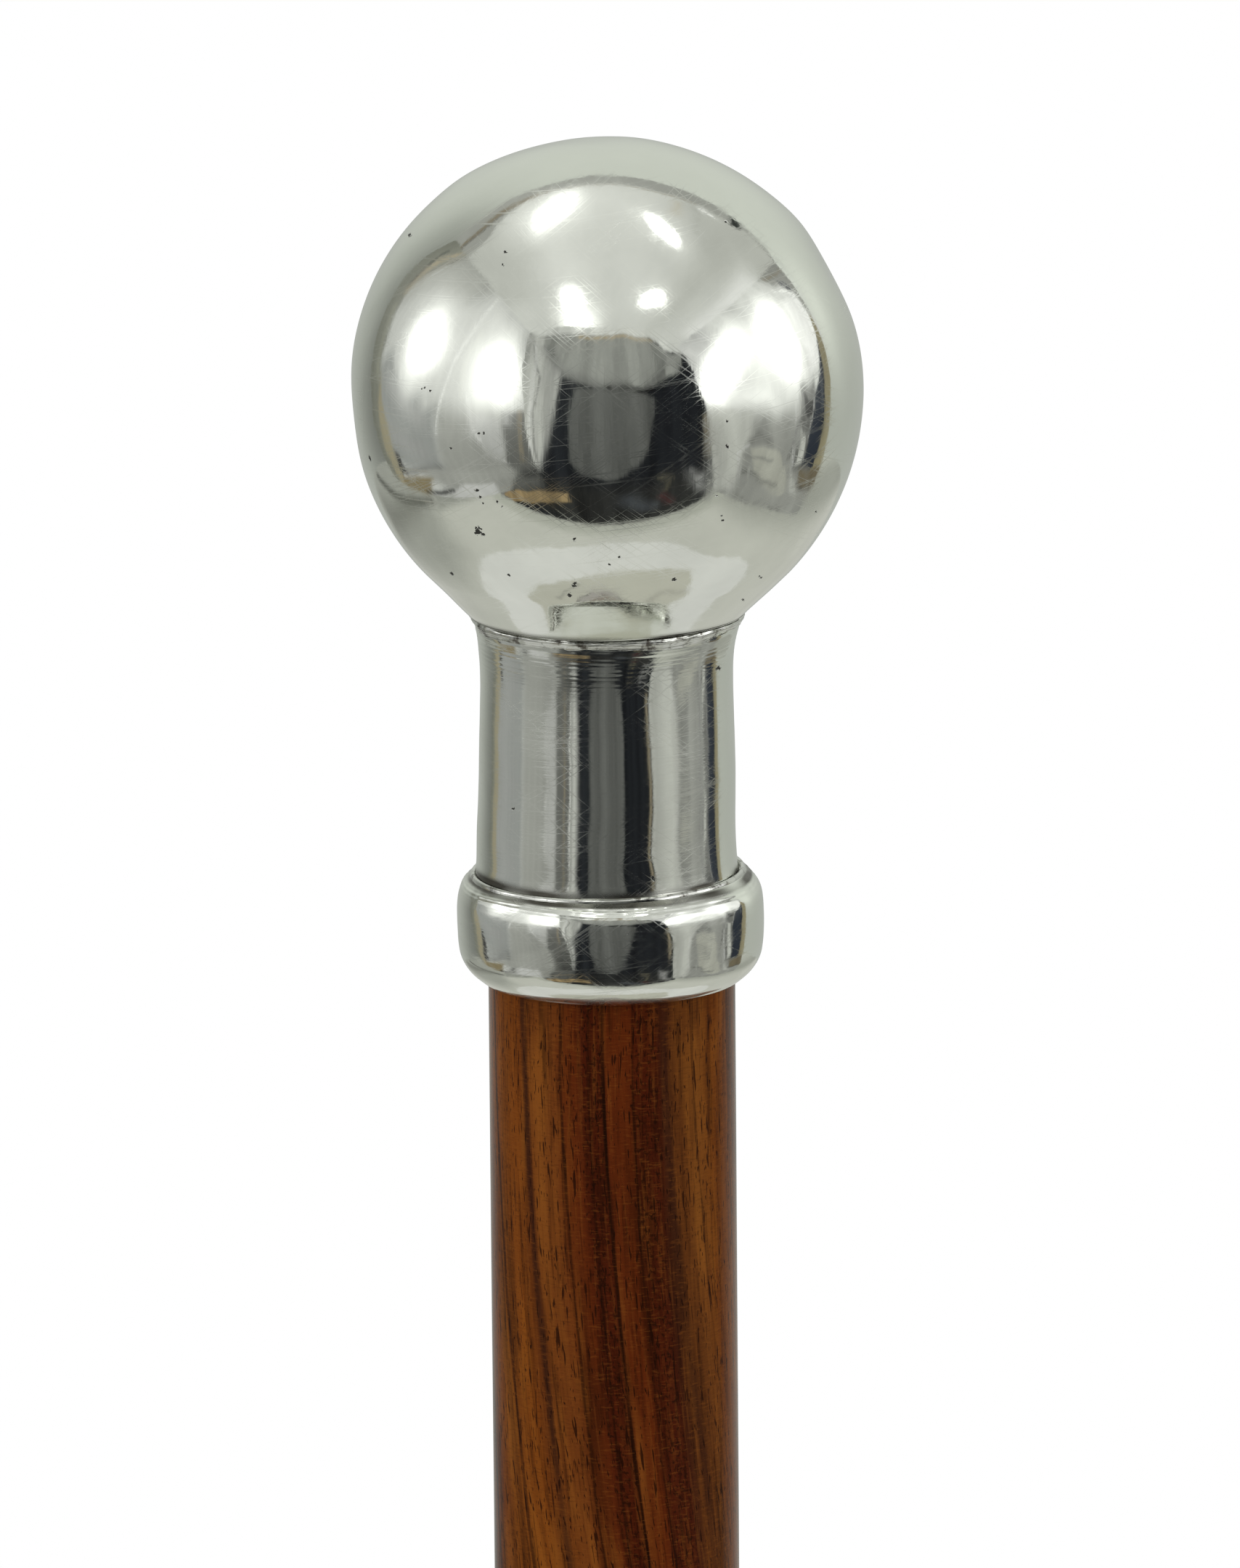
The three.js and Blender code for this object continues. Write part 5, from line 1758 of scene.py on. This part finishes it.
RIGHT_WALL = TentSheet(
    "tent_right_wall",
    (((1.02, -1.44, 1.0), (1.33, -0.11, 1.0), (1.48, 0.93, 1.0)),
     ((1.17, -1.33, 0.29), (1.45, -0.10, 0.10), (1.56, 0.79, 0.0)),
     ((1.34, -1.04, -1.06), (1.42, -0.20, -1.10), (1.42, 0.71, -1.13))),
    Painting(200, (0.99, 1.0, 0.98), (
        Patch(182, 0.06, (-10, -10, 20, -10, 17, 20, 4, 45, -10, 45)),
        Patch(138, 0.03, (60, -10, 76, 9, 90, 15, 98, 28, 110, 30, 110, -10), tint=YELLOWISH),
        Patch(232, 0.02, (72, 19, 92, 18, 97.5, 30, 93, 46, 76, 50)),
        Patch(138, 0.05, (-10, 63, 60, 61, 64, 72, 120, 84, 120, 110, -10, 110), tint=YELLOWISH),
        Patch(94, 0.025, (62, 54, 78, 52, 82, 86, 64, 80), cover=0.9, tint=YELLOWISH),
        Patch(168, 0.016, (-10, 60, 31, 62, 25, 74, 21, 96, -10, 102), tint=(0.99, 1.0, 0.95)),
        Patch(124, 0.012, (26, 74.5, 36, 64, 45, 74.5), tint=YELLOWISH),
        Patch(98, 0.015, (27, 73.5, 33, 70, 42, 73.5), 0.012, 0.7, tint=YELLOWISH),
        Patch(158, 0.008, (28, 76, 47, 75.5, 62, 84, 73, 92, 60, 94, 36, 88), tint=(1.0, 1.0, 0.90)),
        Patch(122, 0.01, (24, 80, 36, 81, 46, 80), 0.012, 0.8, tint=YELLOWISH),
        Patch(104, 0.01, (26, 87, 38, 89, 58, 89), 0.018, 0.8, tint=YELLOWISH),
        Patch(112, 0.01, (16, 97.5, 40, 98.5, 78, 99), 0.014, 0.9, tint=YELLOWISH),
        Patch(178, 0.007, (19, 99, 24, 90, 20, 80, 27, 74.5), 0.01, 0.8),
        Patch(176, 0.007, (32, 99, 34, 92, 31, 86), 0.01, 0.7, tint=YELLOWISH),
        Patch(196, 0.008, (58, 60, 60, 74, 66, 80), 0.012, 0.8),
        Patch(182, 0.01, (64, 68, 70, 70, 76, 81, 69, 80), tint=YELLOWISH),
        Patch(76, 0.02, (60, 78, 60, 68, 66, 65, 75, 67), 0.025, 0.7, tint=YELLOWISH),
        Patch(48, 0.01, (78, 57, 87, 52, 96.5, 38, 95, 83, 77.5, 82, 76.5, 70), tint=(0.78, 0.94, 1.30)),
        Patch(95, 0.02, (90, 54, 90.5, 62), 0.03, 0.6, tint=BLUISH),
        Patch(40, 0.006, (65.5, 57.5, 75, 58.8, 75, 63.8, 66, 63.2)),
        Patch(200, 0.008, (76, 58, 75.5, 72), 0.008, 0.8),
        Patch(204, 0.008, (98.5, -10, 120, -10, 120, 50, 104, 30, 99, 22), tint=(0.965, 1.0, 0.94)),
        Patch(128, 0.01, (95.5, 44, 98.5, 30, 102, 30, 106, 42, 120, 50, 120, 92, 94, 84),
            tint=(1.12, 1.0, 0.66)),
        Patch(96, 0.01, (76, 83, 120, 83.5, 120, 92, 84, 88.5), tint=TAN),
        Patch(72, 0.01, (80, 87.5, 90, 89, 110, 90), 0.012, 0.8, tint=YELLOWISH),
        Patch(164, 0.012, (62, 79, 74, 86, 90, 93, 76, 91), tint=YELLOWISH),
        Patch(66, 0.008, (81, 7, 86, 10, 94, 17.5, 90, 17, 83, 12), tint=BLUISH),
        Patch(120, 0.012, (74, 3, 86, 5.5, 97, 6), 0.014, 0.7, tint=TAN),
        Patch(242, 0.01, (72, 11, 82, 14, 92, 20), 0.008, 0.8),
        Patch(214, 0.014, (60, 50, 75, 48, 90, 42), 0.014, 0.6)),
        (Lamp(0.17, 0.38, 0.108, 0.170, 1.9, -0.55, 2.3), Lamp(0.575, 0.32, 0.115, 0.175, 1.8, 0.0, 2.5),
         Lamp(0.40, 0.35, 0.35, 0.22, 0.45), Lamp(0.06, 0.53, 0.07, 0.06, 1.0),
         Lamp(0.30, 0.56, 0.12, 0.05, 0.30), Lamp(0.82, 0.13, 0.06, 0.05, 0.20)),
        creases=0.055, crease_scale=(1.0, 0.45), seed=87),
    reach=1.08)

FRONT = TentSheet(
    "tent_front",
    (((-3.206, -2.211, 2.653), (0.0, -2.211, 2.653), (3.206, -2.211, 2.653)),
     ((-3.206, -2.211, 0.077), (0.0, -2.211, 0.077), (3.206, -2.211, 0.077)),
     ((-3.206, -2.211, -2.498), (0.0, -2.211, -2.498), (3.206, -2.211, -2.498))),
    Painting(34, (0.85, 0.95, 1.12), (
        Patch(44, 0.06, (26, 76, 85, 76, 92, 90, 80, 110, 50, 110, 20, 90), tint=(0.98, 1.0, 0.97)),
        Patch(80, 0.03, (-10, 70, 20, 74, 30, 77.5, 30, 81, 5, 100, 0, 110, -10, 110), tint=YELLOWISH),
        Patch(138, 0.03, (-10, 90, 4, 95, 0, 110, -10, 110), tint=YELLOWISH),
        Patch(168, 0.012, (0, 0, 30, 10, 36, 34, 35.2, 50, 33.5, 60, 30.2, 73, 20, 78, 0, 80),
            tint=(0.99, 1.0, 0.96)),
        Patch(120, 0.02, (33.5, 30, 34.5, 50, 31.8, 68), 0.012, 0.5),
        Patch(122, 0.01, (20, 50, 23.2, 49, 23.2, 72, 20, 75), tint=TAN),
        Patch(66, 0.006, (23.2, 17, 25.5, 26, 29, 36, 27.5, 49, 28.3, 62, 30, 74), 0.006, 0.85),
        Patch(196, 0.01, (25, 20, 27, 30, 26.2, 45, 26.5, 66), 0.01, 0.7),
        Patch(136, 0.01, (27, 16, 65, 19.5, 70, 27, 75.5, 25.5, 72, 35, 63, 40.5, 53, 41.5, 43, 39,
            37, 35.5, 31, 27), tint=(0.98, 1.0, 0.95)),
        Patch(96, 0.02, (29, 22, 36, 34, 45, 38.5, 55, 40.5), 0.02, 0.6),
        Patch(84, 0.012, (69, 27, 66, 37, 60, 40.5), 0.014, 0.7),
        Patch(196, 0.008, (-10, -10, 110, -10, 110, 22, 77, 26, 69, 25, 65.5, 19.5, 40, 17.5, 27, 16.5,
            18, 12, -10, 5), tint=(0.99, 1.0, 0.97)),
        Patch(150, 0.006, (41, 19.2, 53, 19.5, 65, 20.7), 0.016, 0.8, tint=TAN),
        Patch(92, 0.008, (41.5, 41, 57, 40.5, 62.5, 45.5, 62.8, 49, 60.7, 60, 57.8, 68, 54.5, 72,
            50, 73.2, 43, 71.5, 40.4, 67, 40, 54), tint=(0.98, 1.0, 0.97)),
        Patch(24, 0.008, (50, 40.5, 56, 42.5, 62, 42), 0.016, 0.9),
        Patch(138, 0.01, (82.5, 54, 84.2, 62, 86, 71), 0.016, 0.8, tint=TAN),
        Patch(150, 0.025, (77, 75, 82, 80, 86, 82, 84, 86, 80, 83), cover=0.7),
        Patch(150, 0.03, (84, 87, 90, 92, 92, 97), 0.02, 0.7),
        Patch(96, 0.012, (66, 74, 70, 76, 69, 81), 0.016, 0.7, tint=(1.1, 1.0, 0.7)),
        Patch(78, 0.03, (56, 84, 63, 90), 0.06, 0.7, tint=BLUISH),
        Patch(58, 0.02, (68, 84, 72, 90), 0.03, 0.7, tint=(1.6, 0.7, 0.7)),
        Patch(117, 0.006, (38, 81, 38.4, 86, 10, 100, 4, 99, 9, 93, 25, 85), tint=(1.33, 0.98, 0.54))),
        creases=0.13, crease_scale=(1.9, 0.10), crease_length=0.07, wobble=0.0025, seed=91))

# Tones of the floor that only the polish mirrors: the floor, its pale round sheet, a painted shade round
# the stick's foot and a painted reflection of the collar.
FLOOR_WITH_PAINTED_SHADE_AND_REFLECTION = Painting(183, (0.995, 1.0, 0.925), (
    Patch(152, 0.26, (-260, 25, -260, 260, -62, 260, -62, 70, -85, 25), tint=(0.98, 1.0, 0.92)),
    Patch(94, 0.06, (-152, 30, -150, 90, -154, 200), 0.14, tint=(0.98, 1.0, 0.90)),
    Patch(106, 0.18, (-145, 80, -115, 155, -100, 210), 0.32, 0.65, tint=(0.98, 1.0, 0.88)),
    Patch(138, 0.1, (-260, -90, -260, 20, -138, 20, -138, -90), tint=(0.98, 1.0, 0.92)),
    Patch(152, 0.28, (260, -90, 260, 260, 113, 260, 113, -90), tint=(0.98, 1.0, 0.91)),
    Patch(176, 0.3, (260, 40, 260, 260, 190, 260, 190, 40), tint=(0.98, 1.0, 0.92)),
    Patch(166, 0.07, (-150, -70, 0, -73.5, 130, -66, 130, -120, -150, -120), tint=(0.98, 1.0, 0.90)),
    Patch(96, 0.04, (-120, -88, 0, -89.5, 100, -87), 0.03, 0.8, tint=(0.98, 1.0, 0.95)),
    Patch(201, 0.014, (-40.3, 64, -50.1, 61.9, -61.9, 43.7, -70.9, 22.9, -74.1, 6.83, -68.7, -11.4,
        -57.2, -29.9, -41.2, -45.9, -18.1, -57.2, 0, -62.7, 20.6, -58.7, 41.2, -48, 52.7, -32,
        59.5, -11.4, 68.7, 6.83, 73.6, 27.4, 70.9, 45.9, 61.9, 59.5, 50.1, 65.5, 38.9, 66.1, 36.3, 91.7,
        32, 171, -29.9, 171, -34.1, 100), tint=(0.995, 1.0, 0.975)),
    # Darker tan patch round the stick's foot: painted shade under the stick.
    Patch(174, 0.014, (-36.6, 27.4, -37.3, 4.27, -25.2, -11.4, -4.27, -25.2, 13.9, -25.2, 32, -18.1,
        44.4, -4.59, 41.2, 9.17, 34.1, 22.9, 10.7, 44.8, -21.3, 44.8), tint=(1.0, 0.99, 0.87)),
    # Dome with a dark outline over the stick's foot: a painted reflection of the collar, as the ball's
    # underside shows it.
    Patch(152, 0.006, (-14, 20, -11.5, 5, -7.5, -4, -2, -5.5, 3, -4, 8.5, 6, 11.5, 20),
        tint=(1.03, 0.98, 0.93)),
    Patch(92, 0.006, (-14, 20, -11.5, 5, -7.5, -4, -2, -5.5, 3, -4, 8.5, 6, 11.5, 20), 0.01, 0.8,
        tint=(1.0, 1.0, 0.95)),
    Patch(122, 0.016, (-23, 12, -20, -2, -16, -13), 0.02, 0.6, tint=(1.0, 1.0, 0.92)),
    Patch(148, 0.02, (17.1, 19.2, 25.6, 8.53, 35.2, 17.1), 0.05, 0.6, tint=(1.0, 0.98, 0.88))),
    creases=0.015, crease_scale=(1.0, 1.0), crease_length=0.5, seed=95)


def stage_material(name: str) -> tuple[bpy.types.Material, Nodes]:
    """Makes an empty material for the stage, which isn't sampled as a lamp."""
    material = bpy.data.materials.new(name)
    material.use_nodes = True
    material.cycles.emission_sampling = "NONE"
    material.node_tree.nodes.clear()
    return material, Nodes(material.node_tree)


def glow_light(nodes: Nodes) -> bpy.types.NodeSocket:
    """Plain light in the mesh's own glow colour."""
    colour = nodes.add("Attribute", attribute_name="glow").outputs["Color"]
    return nodes.add("Emission", {"Color": colour, "Strength": 1.0}).outputs[0]


@dataclass
class Studio:
    """Floor, light tent, lamps and white surround.

    The tent is a cloth ceiling and two cloth walls round the handle, with an open dark front.
    Nothing but the gloss of the object sees it, and the plain floor keeps the shadow.
    """

    ball_height: float
    tent_height: float = 0.36
    floor_radius: float = 2.4
    white_radius: float = 0.34
    surround_radius: float = 3.0

    def cloth(self) -> bpy.types.Material:
        """Material that shows the mesh's own glow colour as plain light."""
        material, nodes = stage_material("tent cloth")
        nodes.add("OutputMaterial", {"Surface": glow_light(nodes)})
        return material

    def place_sheet(self, name: str, places: Array, glow: Array, material: bpy.types.Material,
                    wrap: bool = False) -> bpy.types.Object:
        """Makes a stage mesh of a grid of places with a glow colour at each.

        Args:
            name: Name of the object.
            places: Rows and columns of places in metres.
            glow: Rows and columns of colours.
            material: Its material.
            wrap: Whether the last column joins the first.

        Returns:
            The mesh object.
        """
        rows, columns = places.shape[:2]
        made = mesh_object(name, places.reshape(-1, 3), grid_faces(rows, columns, False, wrap))
        layer = made.data.attributes.new("glow", "FLOAT_COLOR", "POINT")
        colours = np.concatenate([glow, np.ones((rows, columns, 1))], axis=-1)
        layer.data.foreach_set("color", colours.astype(np.float32).ravel())
        made.data.materials.append(material)
        return made

    def gloss_only(self, made: bpy.types.Object) -> None:
        """Lets only mirror rays see an object."""
        made.visible_camera = False
        made.visible_diffuse = False
        made.visible_shadow = False
        made.visible_volume_scatter = False

    def place_tent(self, material: bpy.types.Material) -> None:
        """Hangs the ceiling, the two walls and the open front with the dark room behind it."""
        for sheet in (CEILING, LEFT_WALL, RIGHT_WALL, FRONT):
            places = sheet.places(self.tent_height, self.ball_height)
            glow = sheet.painting.colour(*sheet.shares())
            self.gloss_only(self.place_sheet(sheet.name, places, glow, material))

    def place_surround(self, material: bpy.types.Material) -> None:
        """Pale room round the tent, dimmer beside the left wall and low down."""
        lift, turn = np.meshgrid(np.linspace(-89.5, 89.5, 90),
                                 np.linspace(-180.0, 180.0, 181)[:-1], indexing="ij")
        rise, angle = np.radians(lift), np.radians(turn)
        directions = np.stack([np.cos(rise) * np.sin(angle), -np.cos(rise) * np.cos(angle),
                               np.sin(rise)], axis=-1)
        places = directions * self.surround_radius + np.array([0.0, 0.0, self.ball_height])
        left_shade = bell(turn + 122.0, 24.0) * bell(lift - 5.0, 60.0)
        right_light = bell(turn - 127.0, 9.0) * bell(lift - 9.0, 14.0)
        light = (light_for(202.0) * (1.0 - 0.64 * left_shade)
                 * (1.0 + 0.25 * right_light - 0.33 * bell(lift + 14.0, 22.0)))
        colour = light[..., None] * np.array([0.965, 1.0, 0.93])
        self.gloss_only(self.place_sheet("tent_surround", places, colour, material, wrap=True))

    def place_floor(self) -> None:
        """Plain pale floor.

        For the camera it is matt near the stick, where the shadow falls, and fades to plain
        white. For mirror rays it shows the tent's own floor with a paler sheet on it, a painted
        shade round the stick's foot and a painted reflection of the collar.
        """
        rings = np.concatenate([np.linspace(0.004, 1.3, 220), np.linspace(1.35, self.floor_radius, 24)])
        angle = np.arange(240) * TURN / 240
        reach, turn = np.meshgrid(rings, angle, indexing="ij")
        places = np.stack([reach * np.cos(turn), reach * np.sin(turn), np.zeros_like(reach)], axis=-1)
        colour = FLOOR_WITH_PAINTED_SHADE_AND_REFLECTION.colour(places[..., 0] / self.ball_height, places[..., 1] / self.ball_height)
        material, nodes = stage_material("pale floor")
        rays = nodes.add("LightPath").outputs
        place = nodes.add("SeparateXYZ", {0: nodes.object_place()}).outputs
        away = nodes.math("SQRT", nodes.math("ADD", nodes.math("MULTIPLY", place[0], place[0]),
                                             nodes.math("MULTIPLY", place[1], place[1])))
        fade = nodes.math("MULTIPLY", rays["Is Camera Ray"],
                          nodes.ease(away, 0.35 * self.white_radius, self.white_radius))
        matt = nodes.add("BsdfDiffuse", {"Color": (0.88, 0.88, 0.87, 1.0)})
        white = nodes.add("Emission", {"Color": (1.0, 1.0, 1.0, 1.0), "Strength": 1.0})
        seen = nodes.add("MixShader", {0: fade, 1: matt.outputs[0], 2: white.outputs[0]})
        mirror_ray = nodes.math("MAXIMUM", rays["Is Glossy Ray"], rays["Is Transmission Ray"])
        both = nodes.add("MixShader", {0: mirror_ray, 1: seen.outputs[0], 2: glow_light(nodes)})
        nodes.add("OutputMaterial", {"Surface": both.outputs[0]})
        self.place_sheet("floor", places, colour, material, wrap=True)

    def light_world(self) -> None:
        """White behind the object for camera and mirror rays, plain soft light for the rest."""
        world = bpy.data.worlds.new("white surround")
        bpy.context.scene.world = world
        world.use_nodes = True
        world.node_tree.nodes.clear()
        nodes = Nodes(world.node_tree)
        rays = nodes.add("LightPath").outputs
        seen = nodes.math("MAXIMUM", rays["Is Camera Ray"],
                          nodes.math("MAXIMUM", rays["Is Glossy Ray"], rays["Is Transmission Ray"]))
        strength = nodes.ease(seen, 0.0, 1.0, 0.62, 1.0)
        light = nodes.add("Background", {"Color": (1.0, 1.0, 1.0, 1.0), "Strength": strength})
        nodes.add("OutputWorld", {"Surface": light.outputs[0]})

    def hang_lamp(self, name: str, place: Place, aim: Place, size: float, power: float) -> None:
        """Hangs a soft square lamp that lights matt surfaces but isn't mirrored.

        Args:
            name: Name of the lamp.
            place: Where it hangs.
            aim: What it points at.
            size: Length of its side.
            power: Power in watts.
        """
        data = bpy.data.lights.new(name, "AREA")
        data.shape, data.size, data.energy = "SQUARE", size, power
        lamp = bpy.data.objects.new(name, data)
        lamp.visible_glossy = False
        lamp.matrix_world = (Matrix.Translation(place)
                             @ (Vector(aim) - Vector(place)).to_track_quat("-Z", "Y").to_matrix().to_4x4())
        bpy.context.scene.collection.objects.link(lamp)

    def set_up(self) -> None:
        """Builds the whole studio and sets the plain view transform."""
        bpy.context.scene.view_settings.view_transform = "Standard"
        self.light_world()
        material = self.cloth()
        self.place_tent(material)
        self.place_surround(material)
        self.place_floor()
        self.hang_lamp("left_soft_lamp", (-1.1, -0.7, 1.3), (0.0, 0.0, 0.75), 0.8, 9.0)
        self.hang_lamp("right_soft_lamp", (1.2, -0.6, 1.2), (0.0, 0.0, 0.75), 0.8, 9.0)
        self.hang_lamp("top_soft_lamp", (-0.1, -0.3, 2.1), (0.0, 0.0, 0.4), 1.0, 12.0)


@dataclass(frozen=True)
class PhotoCamera:
    """Camera of the photograph: a long lens a little above the handle."""

    distance: float = 1.5
    roll: float = -0.49
    frame_height: float = 0.12685
    sensor_height: float = 36.0
    aim_height: float = 0.86687
    aim_side: float = 0.0008

    def set_up(self) -> None:
        """Places the camera and makes it the scene's."""
        data = bpy.data.cameras.new("photo_camera")
        data.sensor_fit = "VERTICAL"
        data.sensor_height = self.sensor_height
        data.lens = self.sensor_height * self.distance / self.frame_height
        data.clip_start, data.clip_end = 0.05, 60.0
        camera = bpy.data.objects.new("photo_camera", data)
        tilt = math.radians(CAMERA_HEIGHT)
        aim = Vector((self.aim_side, 0.0, self.aim_height))
        place = aim + self.distance * Vector((0.0, -math.cos(tilt), math.sin(tilt)))
        look = Matrix.Rotation(math.radians(90.0 - CAMERA_HEIGHT), 4, "X")
        roll = Matrix.Rotation(math.radians(self.roll), 4, "Z")
        camera.matrix_world = Matrix.Translation(place) @ look @ roll
        bpy.context.scene.collection.objects.link(camera)
        bpy.context.scene.camera = camera


def main() -> None:
    """Builds the stick's sub-assemblies in order, and then the studio round them."""
    logging.basicConfig(level=logging.INFO, format="%(name)s: %(message)s")
    finishes = Finishes.build()
    handle = Handle()
    for piece in [*handle.build(finishes), *Shaft().build(finishes), *Foot().build(finishes)]:
        piece.hand_over()
    Studio(ball_height=handle.centre).set_up()
    PhotoCamera().set_up()


if __name__ == "__main__":
    main()
